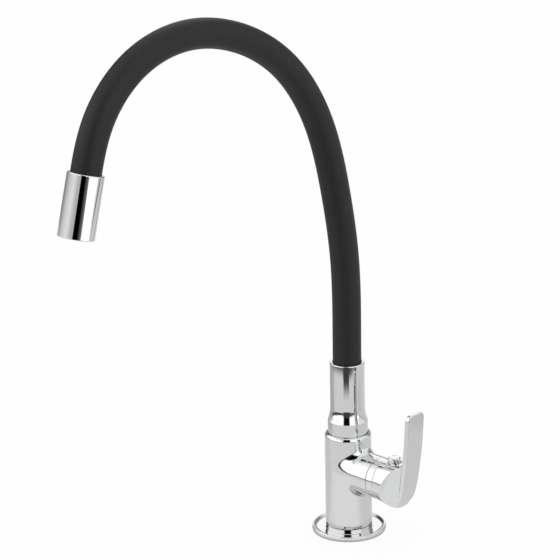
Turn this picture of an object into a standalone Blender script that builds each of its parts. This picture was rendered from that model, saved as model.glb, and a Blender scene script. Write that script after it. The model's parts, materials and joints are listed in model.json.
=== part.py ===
# Kitchen faucet with a side lever and a flexible spout, built from separate pieces.
# Lengths are in metres. The origin is on the deck, under the middle of the body, with Z up.
# The spout reaches towards -Y and the valve branch points along +X.

import math

import bmesh
import bpy
import numpy as np

# Clearances and cutting
SEAT_GAP = 0.0003  # between pieces that rest on or in one another
OVERRUN = 0.002  # how far a cutter runs past the face it cuts
WELD = 0.00001
ROUND_SIDES = 28
MID_SIDES = 16
SMALL_SIDES = 14
CORNER_STEPS = 2

# Flexible spout
HOSE_RADIUS = 0.0100
SLEEVE_WALL = 0.0020
CORE_WALL = 0.0012
TUBE_WALL = 0.0018
SOCKET_CLEARANCE = 0.0003
LAYER_GAP = 0.0004
SPOUT_REACH = 0.2327
ARCH_RISE = 0.2584  # from the collar's top to the crown's centre line
OUTLET_TILT = math.radians(15)
# Centre line from the collar to the nozzle: shares of the reach and of the rise
ROUTE_SHARES = (
    (0.000, 0.000),
    (0.005, 0.287),
    (0.040, 0.483),
    (0.103, 0.676),
    (0.236, 0.854),
    (0.430, 0.965),
    (0.636, 1.000),
    (0.829, 0.951),
    (0.954, 0.835),
    (1.000, 0.724),
)
LOWER_FLEX_SHARE = 0.30  # shares of the length of the free hose
UPPER_FLEX_SHARE = 0.80
FLEX_LENGTH = 0.0600
RING_TURN = math.radians(12)  # most that the hose turns between two rings
RING_STEP = 0.0300  # most that lies between two rings
END_RUN = 0.0020  # short straight run that squares a tube's end
SLEEVE_RESOLUTION = 6
CORE_RESOLUTION = 3
TUBE_RESOLUTION = 2
ROUTE_SAMPLES = 1200
CORE_RADIUS = HOSE_RADIUS - SLEEVE_WALL - LAYER_GAP
TUBE_RADIUS = CORE_RADIUS - CORE_WALL - LAYER_GAP

# Hose fittings
STUB_CLEARANCE = 0.0006
STUB_LENGTH = 0.0140
STUB_RADIUS = TUBE_RADIUS - TUBE_WALL - STUB_CLEARANCE
FITTING_FLANGE = 0.0024
FITTING_BORE = 0.0020
FITTING_SPIGOT_RADIUS = 0.0052
FITTING_SPIGOT_LENGTH = 0.0040

# Spout collar: a tube that holds the hose, a flare and a band that stands in the body's lip
COLLAR_TUBE_WALL = 0.00185
COLLAR_STEP = 0.00195
COLLAR_CREASE = 0.0003
COLLAR_LIP = 0.0007
COLLAR_BAND_HEIGHT = 0.0087  # above the body's top
COLLAR_FLARE_HEIGHT = 0.0095
COLLAR_TUBE_HEIGHT = 0.0333
COLLAR_TUBE_RADIUS = HOSE_RADIUS + SOCKET_CLEARANCE + COLLAR_TUBE_WALL
COLLAR_BAND_RADIUS = COLLAR_TUBE_RADIUS + COLLAR_STEP
COLLAR_SHOULDER_RADIUS = COLLAR_BAND_RADIUS - COLLAR_CREASE
COLLAR_WATERWAY = FITTING_SPIGOT_RADIUS + 2 * SEAT_GAP
HOSE_SOCKET_DEPTH = 0.0308

# Body casting
LIP_GAP = 0.0004
LIP_WIDTH = 0.0019
LIP_DEPTH = 0.0028
BODY_RADIUS = COLLAR_BAND_RADIUS + LIP_GAP + LIP_WIDTH
BODY_EDGE = 0.0032
BODY_ABOVE_BRANCH = 0.0276
SPOUT_BORE = 0.0090
SPOUT_BORE_DEPTH = 0.0123
SNAP_GROOVE_DEPTH = 0.0009
SNAP_GROOVE_HEIGHT = 0.0036
SHANK_SOCKET_DEPTH = 0.0120
SUPPLY_RADIUS = 0.0050
SUPPLY_OFFSET = 0.0030  # the supply passage stands this far behind the axis
PORT_RADIUS = 0.0042
SEAT_FACE = 0.0040  # x of the valve seat
OUTLET_RADIUS = 0.0026
OUTLET_OFFSET = 0.0062

# Quarter-turn cartridge; depths run along the branch from the seat
SEAL_THICKNESS = 0.0020
SEAL_BORE = 0.0052
DISC_RADIUS = 0.0085
DISC_THICKNESS = 0.0030
DISC_PORT_RADIUS = 0.0032
DISC_PORT_OFFSET = 0.0044
HOUSING_WALL = 0.0014
HOUSING_WINDOW = 0.0050
HOUSING_COLLAR_WIDTH = 0.0008
HOUSING_COLLAR_LENGTH = 0.0030
HOUSING_NECK_WALL = 0.0029
SPINDLE_RADIUS = 0.0040
SPINDLE_HEAD_LENGTH = 0.0035
SPINDLE_ENGAGEMENT = 0.0130  # how deep the spindle stands in the hub
SPINDLE_SPLINES = 12
SPINDLE_SPLINE_DEPTH = 0.0004
SPINDLE_SPLINE_LENGTH = 0.0090
GROOVE_DEPTH = 0.0010
GROOVE_WIDTH = 0.0018
CLIP_THICKNESS = 0.0008
CLIP_WIDTH = 0.0016
HOUSING_BORE = DISC_RADIUS + SEAT_GAP
HOUSING_RADIUS = HOUSING_BORE + HOUSING_WALL
CHAMBER_RADIUS = HOUSING_RADIUS + SEAT_GAP
HOUSING_NECK_RADIUS = SPINDLE_RADIUS + SEAT_GAP + HOUSING_NECK_WALL

# Branch
BRANCH_HEIGHT = 0.0467
BRANCH_WALL = 0.00425
BRANCH_LENGTH = 0.0133  # from the body's side to the branch's end
BRANCH_FILLET = 0.0045
FILLET_SINK = 0.0002  # the fillet's edge runs this far under the body's skin
FILLET_STEPS = 5
TRIM_WIDTH = 0.0059
TRIM_WALL = 0.0018
BRANCH_RADIUS = CHAMBER_RADIUS + BRANCH_WALL
BRANCH_END = BODY_RADIUS + BRANCH_LENGTH
HUB_START = BRANCH_END + SEAT_GAP + TRIM_WIDTH + SEAT_GAP

# Swivel
GLIDE_THICKNESS = 0.0008
SWIVEL_CLEARANCE = 0.0004
SPIGOT_WALL = 0.0028
SPIGOT_HEIGHT = 0.0117  # above the body's top
SPIGOT_FOOT_GAP = 0.0010
SPIGOT_RADIUS = SPOUT_BORE - SWIVEL_CLEARANCE
ORING_THICKNESS = 0.0018
ORING_LOW_SHARE = 0.25  # shares of the plain bore above the snap groove
ORING_HIGH_SHARE = 0.78
SNAP_THICKNESS = 0.0012
SNAP_DEPTH = 0.0010

# Heights that follow from the sizes above
BODY_TOP = BRANCH_HEIGHT + BODY_ABOVE_BRANCH
COLLAR_BAND_TOP = BODY_TOP + COLLAR_BAND_HEIGHT
COLLAR_FLARE_TOP = COLLAR_BAND_TOP + COLLAR_FLARE_HEIGHT
COLLAR_TOP = COLLAR_FLARE_TOP + COLLAR_TUBE_HEIGHT
HOSE_SOCKET_FLOOR = COLLAR_TOP - HOSE_SOCKET_DEPTH
SPIGOT_TOP = BODY_TOP + SPIGOT_HEIGHT

# Mounting set below the deck
DECK_THICKNESS = 0.0300
SHANK_RADIUS = 0.0104
SHANK_WALL = 0.0034
SHANK_TAIL = 0.0063  # stands out below the nut
SHANK_ENGAGEMENT = 0.0110
SHANK_CHAMFER = 0.0010
DECK_WASHER_WIDTH = 0.0116
RUBBER_WASHER_THICKNESS = 0.0030
STEEL_WASHER_THICKNESS = 0.0016
NUT_WALL = 0.0046
NUT_HEIGHT = 0.0080
NUT_CHAMFER = 0.0012
NUT_LOW = -DECK_THICKNESS - RUBBER_WASHER_THICKNESS - STEEL_WASHER_THICKNESS - NUT_HEIGHT - 2 * SEAT_GAP

# Base flange
FLANGE_WIDTH = 0.0098  # beyond the body's side
FLANGE_RADIUS = BODY_RADIUS + FLANGE_WIDTH
FLANGE_BORE = SHANK_RADIUS + 2 * SEAT_GAP
RIM_HEIGHT = 0.0040
RIM_ROLL = 0.0009  # radius of the rolled edge
RIM_LEAN = 0.0005  # the roll stands this far inside the widest point
RIM_WIDEST = 0.0015  # height of the widest point
DISH_FLOOR = 0.0019
DISH_RADIUS = 0.0060
UPSTAND_HEIGHT = 0.0050
GASKET_THICKNESS = 0.0009
GASKET_INSET = 0.0024
GASKET_RADIUS = FLANGE_RADIUS - GASKET_INSET

# Lever handle
HUB_STEP = 0.00025  # the hub stands this far out over the trim ring
HUB_FLARE_SHARE = 0.125  # radius gained per length towards the blade
HUB_RECESS_RADIUS = 0.0100
HUB_RECESS_DEPTH = 0.0030
BLADE_WIDTH = 0.0160
BLADE_RISE = 0.0561  # tip above the branch's axis
BLADE_DROP = 0.0141  # foot below it
BLADE_TIP_OUT = 0.0290  # outer face at the tip, from the hub's start
BLADE_FOOT_OUT = 0.0163  # outer face at the foot
BLADE_HEEL = 0.0029  # slope that takes off the hub's edge below the foot
BLADE_TIP_THICKNESS = 0.0037
BACK_FOOT_OUT = 0.0164  # the blade's back at the height of the foot
BLADE_TIP_CORNER = 0.0042
BLADE_FOOT_CORNER = 0.0050
# Both faces between foot and tip: shares of the reach gained and of the height gained
BLADE_FACE_SHARES = ((0.20, 0.057), (0.43, 0.18), (0.64, 0.389), (0.82, 0.606))
BLADE_BACK_SHARES = ((0.27, 0.143), (0.46, 0.315), (0.62, 0.473), (0.84, 0.716))
NECK_FILLET = 0.0040  # between the hub's top and the blade's back
NECK_SINK = 0.0002  # the fillet's front edge lies this far under the hub's skin
NECK_SECTIONS = 7
NECK_STEPS = 3
SCOOP_RADIUS = 0.0106  # at the height of the branch's axis
SCOOP_TAPER_SHARE = 0.25  # radius lost per height
SCOOP_LEAN_SHARE = 0.155  # reach gained per height
SCOOP_OUT = 0.0188  # from the hub's start to where the scoops meet the blade's sides
SCOOP_INSET = 0.0004  # the scoops meet the blade this far inside its sides
SCOOP_STEPS = 5
SET_SCREW_SETBACK = 0.0078  # from the hub's start
SET_SCREW_RADIUS = 0.0025
SET_SCREW_LENGTH = 0.0070
SET_SCREW_KEY_FLATS = 0.0025
SET_SCREW_KEY_DEPTH = 0.0025
PLUG_RADIUS = 0.0045
PLUG_STAND = 0.0034
PLUG_SEAT_DEPTH = 0.0012
PLUG_STEM_LENGTH = 0.0016
PLUG_EDGE = 0.0018
BLADE_TOP = BRANCH_HEIGHT + BLADE_RISE
BLADE_FOOT = BRANCH_HEIGHT - BLADE_DROP
BLADE_TIP_REACH = HUB_START + BLADE_TIP_OUT
BLADE_FOOT_REACH = HUB_START + BLADE_FOOT_OUT
BACK_TIP_REACH = BLADE_TIP_REACH - BLADE_TIP_THICKNESS
BACK_FOOT_REACH = HUB_START + BACK_FOOT_OUT
SCOOP_END = HUB_START + SCOOP_OUT
SCOOP_WAIST = BLADE_WIDTH / 2 - SCOOP_INSET
SET_SCREW_REACH = HUB_START + SET_SCREW_SETBACK
HUB_RADIUS = BRANCH_RADIUS + HUB_STEP
HUB_TOP_RADIUS = HUB_RADIUS + HUB_FLARE_SHARE * SET_SCREW_SETBACK  # at the set screw

# Nozzle
NOZZLE_WALL = 0.0017
NOZZLE_RADIUS = HOSE_RADIUS + SOCKET_CLEARANCE + NOZZLE_WALL
NOZZLE_LENGTH = 0.0410
NOZZLE_SOCKET_DEPTH = 0.0135
NOZZLE_WEB = 0.0026
NOZZLE_CAVITY_WALL = 0.0016
NOZZLE_CAVITY_RADIUS = NOZZLE_RADIUS - NOZZLE_CAVITY_WALL
NOZZLE_TOP_EDGE = 0.0009
NOZZLE_FOOT_EDGE = 0.0006
SEAL_WASHER_THICKNESS = 0.0016
AERATOR_RADIUS = NOZZLE_CAVITY_RADIUS - SEAT_GAP
AERATOR_WALL = 0.0014
AERATOR_LEDGE = 0.0010
AERATOR_INSET = 0.0008
REGULATOR_THICKNESS = 0.0030
REGULATOR_HOLES = 6
REGULATOR_HOLE_RADIUS = 0.0010
REGULATOR_HOLE_SIDES = 8
REGULATOR_RING_SHARE = 0.62
GRILLE_THICKNESS = 0.0024
GRILLE_PITCH = 0.0027
GRILLE_CELL = 0.0021


# Scene, collections and materials


def clear_scene():
    for thing in list(bpy.data.objects):
        bpy.data.objects.remove(thing, do_unlink=True)


def new_collection(name):
    collection = bpy.data.collections.new(name)
    bpy.context.scene.collection.children.link(collection)
    return collection


clear_scene()
FAUCET = new_collection("kitchen_faucet")
CUTTERS = new_collection("cutters")


def finish(name, colour, metallic, roughness):
    material = bpy.data.materials.new(name)
    material.use_nodes = True
    shader = material.node_tree.nodes["Principled BSDF"]
    shader.inputs["Base Color"].default_value = (*colour, 1)
    shader.inputs["Metallic"].default_value = metallic
    shader.inputs["Roughness"].default_value = roughness
    return material


def chrome(name):
    return finish(name, (0.80, 0.80, 0.81), 1.0, 0.06)


def brass(name):
    return finish(name, (0.72, 0.56, 0.28), 1.0, 0.32)


def steel(name):
    return finish(name, (0.58, 0.58, 0.57), 1.0, 0.34)


def rubber(name):
    return finish(name, (0.02, 0.02, 0.02), 0.0, 0.80)


def silicone(name):
    return finish(name, (0.035, 0.035, 0.036), 0.0, 0.55)


def plastic(name):
    return finish(name, (0.80, 0.80, 0.77), 0.0, 0.45)


def ceramic(name):
    return finish(name, (0.88, 0.87, 0.84), 0.0, 0.22)


def empty(name, location, parent=None, rotation=(0, 0, 0)):
    holder = bpy.data.objects.new(name, None)
    holder.location = location
    holder.rotation_euler = rotation
    holder.parent = parent
    FAUCET.objects.link(holder)
    return holder


def add_object(name, mesh, material, parent=None, collection=None):
    thing = bpy.data.objects.new(name, mesh)
    thing.parent = parent
    (collection or FAUCET).objects.link(thing)
    if material:
        mesh.materials.append(material(name))
    return thing


def smooth(mesh):
    mesh.shade_smooth()
    mesh.set_sharp_from_angle(angle=math.radians(35))


# Outlines


def rounded(corners, closed=True):
    # Each corner is (x, y) or (x, y, radius); a radius becomes a run of points on its arc.
    points = []
    count = len(corners)
    for index, corner in enumerate(corners):
        here = np.array(corner[:2])
        at_end = not closed and index in (0, count - 1)
        if len(corner) == 2 or at_end:
            points.append(tuple(here))
            continue
        before = np.array(corners[index - 1][:2]) - here
        after = np.array(corners[(index + 1) % count][:2]) - here
        before_length = np.linalg.norm(before)
        after_length = np.linalg.norm(after)
        before = before / before_length
        after = after / after_length
        half = math.acos(float(np.clip(before @ after, -1, 1))) / 2
        radius = min(corner[2], 0.49 * math.tan(half) * min(before_length, after_length))
        middle = before + after
        centre = here + middle / np.linalg.norm(middle) * radius / math.sin(half)
        start = here + before * radius / math.tan(half) - centre
        end = here + after * radius / math.tan(half) - centre
        first = math.atan2(start[1], start[0])
        sweep = math.atan2(start[0] * end[1] - start[1] * end[0], float(start @ end))
        for step in range(CORNER_STEPS + 1):
            angle = first + sweep * step / CORNER_STEPS
            points.append(tuple(centre + radius * np.array((math.cos(angle), math.sin(angle)))))
    return points


def circle_points(radius, sides, centre=(0, 0), turn=0.0):
    angles = [turn + 2 * math.pi * step / sides for step in range(sides)]
    return [(centre[0] + radius * math.cos(a), centre[1] + radius * math.sin(a)) for a in angles]


def across_flats(flats):
    return flats / 2 / math.cos(math.pi / 6)


# Makers of solids


def turned(name, corners, material, parent=None, sides=ROUND_SIDES, collection=None):
    # The profile runs down its outer side. One that starts on the axis is a solid of revolution.
    solid = corners[0][0] == 0
    points = rounded(corners, closed=not solid)
    edges = [(i, i + 1) for i in range(len(points) - 1)]
    if not solid:
        edges.append((len(points) - 1, 0))
    mesh = bpy.data.meshes.new(name)
    mesh.from_pydata([(x, 0, z) for x, z in points], edges, [])
    thing = add_object(name, mesh, material, parent, collection)
    screw = thing.modifiers.new("turn", "SCREW")
    screw.axis = "Z"
    screw.steps = sides
    screw.render_steps = sides
    screw.use_merge_vertices = True
    screw.merge_threshold = WELD
    screw.use_smooth_shade = True
    return thing


def ring(name, outer, inner, low, high, material, parent=None, sides=MID_SIDES, edge=0.0):
    corners = [(outer, high, edge), (outer, low, edge), (inner, low), (inner, high)]
    if not edge:
        corners = [corner[:2] for corner in corners]
    return turned(name, corners, material, parent, sides)


def prism(name, points, low, high, material=None, parent=None, collection=None):
    # A flat outline in XY, drawn up from low to high.
    mesh = bpy.data.meshes.new(name)
    work = bmesh.new()
    corners = [work.verts.new((x, y, low)) for x, y in points]
    face = work.faces.new(corners)
    grown = bmesh.ops.extrude_face_region(work, geom=[face])
    top = [item for item in grown["geom"] if isinstance(item, bmesh.types.BMVert)]
    bmesh.ops.translate(work, verts=top, vec=(0, 0, high - low))
    bmesh.ops.recalc_face_normals(work, faces=work.faces)
    work.to_mesh(mesh)
    work.free()
    return add_object(name, mesh, material, parent, collection)


def cutter_rod(name, radius, low, high, parent=None, sides=MID_SIDES, centre=(0, 0)):
    points = circle_points(radius, sides, centre)
    return prism(name, points, low, high, parent=parent, collection=CUTTERS)


def loft(name, sections):
    # A skin over sections that have the same number of points, closed at both ends.
    mesh = bpy.data.meshes.new(name)
    work = bmesh.new()
    rows = [[work.verts.new(point) for point in section] for section in sections]
    for near, far in zip(rows, rows[1:]):
        for side in range(len(near)):
            after = (side + 1) % len(near)
            work.faces.new((near[side], near[after], far[after], far[side]))
    work.faces.new(rows[0])
    work.faces.new(rows[-1])
    bmesh.ops.recalc_face_normals(work, faces=work.faces)
    work.to_mesh(mesh)
    work.free()
    return add_object(name, mesh, None, collection=CUTTERS)


def plate(name, radius, low, high, material, parent):
    return prism(name, circle_points(radius, MID_SIDES), low, high, material, parent)


def combine(thing, other, operation="DIFFERENCE"):
    other.hide_render = True
    other.display_type = "WIRE"
    boolean = thing.modifiers.new(other.name, "BOOLEAN")
    boolean.operation = operation
    boolean.solver = "EXACT"
    boolean.object = other
    return thing


def bake(thing):
    # Puts the evaluated shape into the mesh, so that later steps see plain geometry.
    graph = bpy.context.evaluated_depsgraph_get()
    graph.update()
    mesh = bpy.data.meshes.new_from_object(thing.evaluated_get(graph))
    thing.modifiers.clear()
    thing.data = mesh
    return thing


# Base flange and the set that clamps it to the deck


def build_flange():
    roll_outer = FLANGE_RADIUS - RIM_LEAN
    roll_inner = roll_outer - 2 * RIM_ROLL
    recess = GASKET_THICKNESS + SEAT_GAP
    corners = [
        (BODY_RADIUS, UPSTAND_HEIGHT),
        (BODY_RADIUS, DISH_FLOOR),
        (BODY_RADIUS + DISH_RADIUS / 2, DISH_FLOOR, DISH_RADIUS),
        (roll_inner, RIM_HEIGHT - RIM_ROLL, DISH_RADIUS / 2),
        (roll_inner, RIM_HEIGHT, RIM_ROLL),
        (roll_outer, RIM_HEIGHT, RIM_ROLL),
        (FLANGE_RADIUS, RIM_WIDEST, RIM_ROLL),
        (FLANGE_RADIUS - RIM_LEAN, 0),
        (GASKET_RADIUS + SEAT_GAP, 0),
        (GASKET_RADIUS + SEAT_GAP, recess),
        (FLANGE_BORE, recess),
        (FLANGE_BORE, UPSTAND_HEIGHT),
    ]
    turned("base_flange", corners, chrome)


def build_gasket():
    ring("flange_gasket", GASKET_RADIUS, FLANGE_BORE, 0, GASKET_THICKNESS, rubber)


def build_shank():
    top = UPSTAND_HEIGHT + SEAT_GAP + SHANK_ENGAGEMENT
    foot = NUT_LOW - SHANK_TAIL
    bore = SHANK_RADIUS - SHANK_WALL
    corners = [
        (SHANK_RADIUS, top, SHANK_CHAMFER),
        (SHANK_RADIUS, foot, SHANK_CHAMFER),
        (bore, foot),
        (bore, top),
    ]
    turned("mounting_shank", corners, brass, sides=MID_SIDES)


def build_clamp_set():
    bore = SHANK_RADIUS + SEAT_GAP
    rim = SHANK_RADIUS + DECK_WASHER_WIDTH
    high = -DECK_THICKNESS
    low = high - RUBBER_WASHER_THICKNESS
    ring("deck_rubber_washer", rim, bore, low, high, rubber)
    high = low - SEAT_GAP
    low = high - STEEL_WASHER_THICKNESS
    ring("deck_steel_washer", rim, bore, low, high, steel)
    low = NUT_LOW
    high = low + NUT_HEIGHT
    corner_radius = across_flats(2 * (SHANK_RADIUS + NUT_WALL))
    nut = prism("mounting_nut", circle_points(corner_radius, 6), low, high, brass)
    bore_cutter = cutter_rod("nut_bore", bore, low - OVERRUN, high + OVERRUN)
    combine(nut, bore_cutter)
    # A cone on each end takes the corners off, as on a turned hexagon nut.
    keeper = turned(
        "nut_keeper",
        [
            (0, high),
            (corner_radius - NUT_CHAMFER, high),
            (corner_radius + SEAT_GAP, high - NUT_CHAMFER),
            (corner_radius + SEAT_GAP, low + NUT_CHAMFER),
            (corner_radius - NUT_CHAMFER, low),
            (0, low),
        ],
        None,
        sides=MID_SIDES,
        collection=CUTTERS,
    )
    combine(nut, keeper, "INTERSECT")


# Body casting with its branch


def branch_solid():
    # The branch is a loft from its round end to the saddle where it meets the body. A ball of the
    # fillet's radius rolls round the two cylinders, and each section lies along its contact arc.
    reach = BODY_RADIUS + BRANCH_FILLET
    spread = BRANCH_RADIUS + BRANCH_FILLET
    rings = []
    for step in range(FILLET_STEPS + 3):
        section = []
        for side in range(ROUND_SIDES):
            angle = 2 * math.pi * (side + 0.5) / ROUND_SIDES
            across = math.cos(angle)
            up = math.sin(angle)
            centre = np.array((math.sqrt(reach**2 - (spread * across) ** 2), spread * across, spread * up))
            on_branch = np.array((centre[0], BRANCH_RADIUS * across, BRANCH_RADIUS * up))
            share = (BODY_RADIUS - FILLET_SINK) / reach
            on_body = np.array((centre[0] * share, centre[1] * share, centre[2]))
            if step == 0:
                point = np.array((BRANCH_END, on_branch[1], on_branch[2]))
            elif step <= FILLET_STEPS + 1:
                turn = (step - 1) / FILLET_STEPS
                start = on_branch - centre
                end = on_body - centre
                cosine = start @ end / np.linalg.norm(start) / np.linalg.norm(end)
                swept = math.acos(float(np.clip(cosine, -1, 1)))
                weight_start = math.sin((1 - turn) * swept) / math.sin(swept)
                weight_end = math.sin(turn * swept) / math.sin(swept)
                point = centre + start * weight_start + end * weight_end
            else:
                point = np.array((0, on_body[1] / 2, on_body[2] * BRANCH_RADIUS / spread))
            section.append((point[0], point[1], point[2] + BRANCH_HEIGHT))
        rings.append(section)
    return loft("branch", rings)


def stepped_cutter(name, corners, parent=None, sides=MID_SIDES):
    return turned(name, corners, None, parent, sides, CUTTERS)


def body_bores(branch_axis):
    foot = UPSTAND_HEIGHT + SEAT_GAP
    lip = BODY_TOP - LIP_DEPTH
    bore_floor = lip - SPOUT_BORE_DEPTH
    snap_top = bore_floor + SNAP_GROOVE_HEIGHT
    recess = BODY_RADIUS - LIP_WIDTH
    well = [
        (0, BODY_TOP + OVERRUN),
        (recess, BODY_TOP + OVERRUN),
        (recess, lip),
        (SPOUT_BORE, lip),
        (SPOUT_BORE, snap_top),
        (SPOUT_BORE + SNAP_GROOVE_DEPTH, snap_top),
        (SPOUT_BORE + SNAP_GROOVE_DEPTH, bore_floor),
        (0, bore_floor),
    ]
    spout_well = stepped_cutter("spout_well", well, sides=ROUND_SIDES)
    chamber = [
        (0, BRANCH_END + OVERRUN),
        (CHAMBER_RADIUS, BRANCH_END + OVERRUN),
        (CHAMBER_RADIUS, SEAT_FACE),
        (PORT_RADIUS, SEAT_FACE),
        (PORT_RADIUS, -SUPPLY_OFFSET),
        (0, -SUPPLY_OFFSET),
    ]
    valve_chamber = stepped_cutter("valve_chamber", chamber, branch_axis)
    socket = cutter_rod("shank_socket", SHANK_RADIUS + SEAT_GAP, foot - OVERRUN, foot + SHANK_SOCKET_DEPTH)
    top = BRANCH_HEIGHT + SUPPLY_RADIUS
    supply = cutter_rod("supply_way", SUPPLY_RADIUS, foot + OVERRUN, top, sides=SMALL_SIDES)
    supply.location = (-SUPPLY_OFFSET, 0, 0)
    outlet = cutter_rod("outlet_way", OUTLET_RADIUS, BRANCH_HEIGHT, bore_floor + OVERRUN, sides=SMALL_SIDES)
    outlet.location = (OUTLET_OFFSET, 0, 0)
    return [spout_well, socket, supply, valve_chamber, outlet]


def build_body(branch_axis):
    foot = UPSTAND_HEIGHT + SEAT_GAP
    corners = [(0, BODY_TOP), (BODY_RADIUS, BODY_TOP, BODY_EDGE), (BODY_RADIUS, foot), (0, foot)]
    body = turned("body_casting", corners, chrome)
    combine(body, branch_solid(), "UNION")
    for cutter in body_bores(branch_axis):
        combine(body, cutter)
    bake(body)
    smooth(body.data)


def build_trim_ring(branch_axis):
    start = BRANCH_END + SEAT_GAP
    end = start + TRIM_WIDTH
    web = start + HOUSING_COLLAR_LENGTH + 2 * SEAT_GAP
    corners = [
        (BRANCH_RADIUS, end),
        (BRANCH_RADIUS, start),
        (BRANCH_RADIUS - TRIM_WALL, start),
        (BRANCH_RADIUS - TRIM_WALL, web),
        (HOUSING_NECK_RADIUS + SEAT_GAP, web),
        (HOUSING_NECK_RADIUS + SEAT_GAP, end),
    ]
    turned("trim_ring", corners, chrome, branch_axis)


# Quarter-turn cartridge, laid out along the branch


def seal_end():
    return SEAT_FACE + SEAT_GAP + SEAL_THICKNESS


def fixed_disc_end():
    return seal_end() + SEAT_GAP + DISC_THICKNESS


def moving_disc_end():
    return fixed_disc_end() + SEAT_GAP + DISC_THICKNESS


def spindle_end():
    return HUB_START + SPINDLE_ENGAGEMENT


def build_seat_seal(branch_axis):
    ring("seat_seal", DISC_RADIUS, SEAL_BORE, SEAT_FACE + SEAT_GAP, seal_end(), rubber, branch_axis)


def ported_disc(name, low, high, parent, side):
    disc = plate(name, DISC_RADIUS, low, high, ceramic, parent)
    centre = (side * DISC_PORT_OFFSET, 0)
    low = low - OVERRUN
    high = high + OVERRUN
    hole = cutter_rod(name + "_port", DISC_PORT_RADIUS, low, high, parent, SMALL_SIDES, centre)
    return combine(disc, hole)


def build_discs(branch_axis, lever_axis):
    ported_disc("fixed_disc", seal_end() + SEAT_GAP, fixed_disc_end(), branch_axis, 1)
    ported_disc("moving_disc", fixed_disc_end() + SEAT_GAP, moving_disc_end(), lever_axis, -1)


def build_housing(branch_axis):
    start = seal_end() + SEAT_GAP
    collar_start = BRANCH_END + SEAT_GAP
    collar_end = collar_start + HOUSING_COLLAR_LENGTH
    neck_end = BRANCH_END + SEAT_GAP + TRIM_WIDTH
    head_end = moving_disc_end() + SEAT_GAP + SPINDLE_HEAD_LENGTH + SEAT_GAP
    spindle_bore = SPINDLE_RADIUS + SEAT_GAP
    corners = [
        (HOUSING_NECK_RADIUS, neck_end),
        (HOUSING_NECK_RADIUS, collar_end),
        (HOUSING_RADIUS + HOUSING_COLLAR_WIDTH, collar_end),
        (HOUSING_RADIUS + HOUSING_COLLAR_WIDTH, collar_start),
        (HOUSING_RADIUS, collar_start),
        (HOUSING_RADIUS, start),
        (HOUSING_BORE, start),
        (HOUSING_BORE, head_end),
        (spindle_bore, head_end),
        (spindle_bore, neck_end),
    ]
    housing = turned("cartridge_housing", corners, brass, branch_axis, MID_SIDES)
    low = fixed_disc_end() + SEAT_GAP
    window = prism(
        "housing_window",
        [
            (-HOUSING_RADIUS - OVERRUN, -HOUSING_WINDOW / 2),
            (-HOUSING_BORE / 2, -HOUSING_WINDOW / 2),
            (-HOUSING_BORE / 2, HOUSING_WINDOW / 2),
            (-HOUSING_RADIUS - OVERRUN, HOUSING_WINDOW / 2),
        ],
        low,
        head_end - SEAT_GAP,
        parent=branch_axis,
        collection=CUTTERS,
    )
    combine(housing, window)


def build_spindle(lever_axis):
    start = moving_disc_end() + SEAT_GAP
    head_end = start + SPINDLE_HEAD_LENGTH
    end = spindle_end()
    groove = (head_end + BRANCH_END) / 2
    root = SPINDLE_RADIUS - GROOVE_DEPTH
    clip_low = HUB_START
    clip_high = clip_low + CLIP_THICKNESS + 2 * SEAT_GAP
    corners = [
        (0, end),
        (SPINDLE_RADIUS, end),
        (SPINDLE_RADIUS, clip_high),
        (root, clip_high),
        (root, clip_low),
        (SPINDLE_RADIUS, clip_low),
        (SPINDLE_RADIUS, groove + GROOVE_WIDTH / 2),
        (root, groove + GROOVE_WIDTH / 2),
        (root, groove - GROOVE_WIDTH / 2),
        (SPINDLE_RADIUS, groove - GROOVE_WIDTH / 2),
        (SPINDLE_RADIUS, head_end),
        (DISC_RADIUS, head_end),
        (DISC_RADIUS, start),
        (0, start),
    ]
    spindle = turned("valve_spindle", corners, brass, lever_axis, SMALL_SIDES)
    # The end that drives the lever is toothed: shallow grooves run along it.
    mesh = bpy.data.meshes.new("spline_cutter")
    work = bmesh.new()
    for tooth in range(SPINDLE_SPLINES):
        turn = 2 * math.pi * (tooth + 0.5) / SPINDLE_SPLINES
        depth = SPINDLE_RADIUS + SPINDLE_SPLINE_DEPTH
        half = math.pi / SPINDLE_SPLINES / 2
        inner = SPINDLE_RADIUS - SPINDLE_SPLINE_DEPTH
        points = [
            (inner * math.cos(turn), inner * math.sin(turn)),
            (depth * math.cos(turn + half), depth * math.sin(turn + half)),
            (depth * math.cos(turn - half), depth * math.sin(turn - half)),
        ]
        rows = []
        for height in (end - SPINDLE_SPLINE_LENGTH, end + OVERRUN):
            rows.append([work.verts.new((x, y, height)) for x, y in points])
        work.faces.new(rows[0])
        work.faces.new(rows[1][::-1])
        for side in range(3):
            after = (side + 1) % 3
            work.faces.new((rows[0][side], rows[1][side], rows[1][after], rows[0][after]))
    bmesh.ops.recalc_face_normals(work, faces=work.faces)
    work.to_mesh(mesh)
    work.free()
    combine(spindle, add_object("spline_cutter", mesh, None, lever_axis, CUTTERS))
    inner = root + SEAT_GAP
    low = groove - GROOVE_WIDTH / 2 + SEAT_GAP
    high = groove + GROOVE_WIDTH / 2 - SEAT_GAP
    ring("spindle_seal", SPINDLE_RADIUS, inner, low, high, rubber, lever_axis, SMALL_SIDES)
    low = clip_low + SEAT_GAP
    high = low + CLIP_THICKNESS
    ring("spindle_clip", inner + CLIP_WIDTH, inner, low, high, steel, lever_axis, SMALL_SIDES)


# Lever handle: a flared hub, scooped on both sides into an upright blade


def blade_curve(foot_reach, tip_reach, shares):
    # One face of the blade from foot to tip, in x and z.
    gain = tip_reach - foot_reach
    climb = BLADE_TOP - BLADE_FOOT
    points = [(foot_reach, BLADE_FOOT)]
    for reach_share, height_share in shares:
        points.append((foot_reach + gain * reach_share, BLADE_FOOT + climb * height_share))
    points.append((tip_reach, BLADE_TOP))
    return points


def blade_back():
    return blade_curve(BACK_FOOT_REACH, BACK_TIP_REACH, BLADE_BACK_SHARES)


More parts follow.
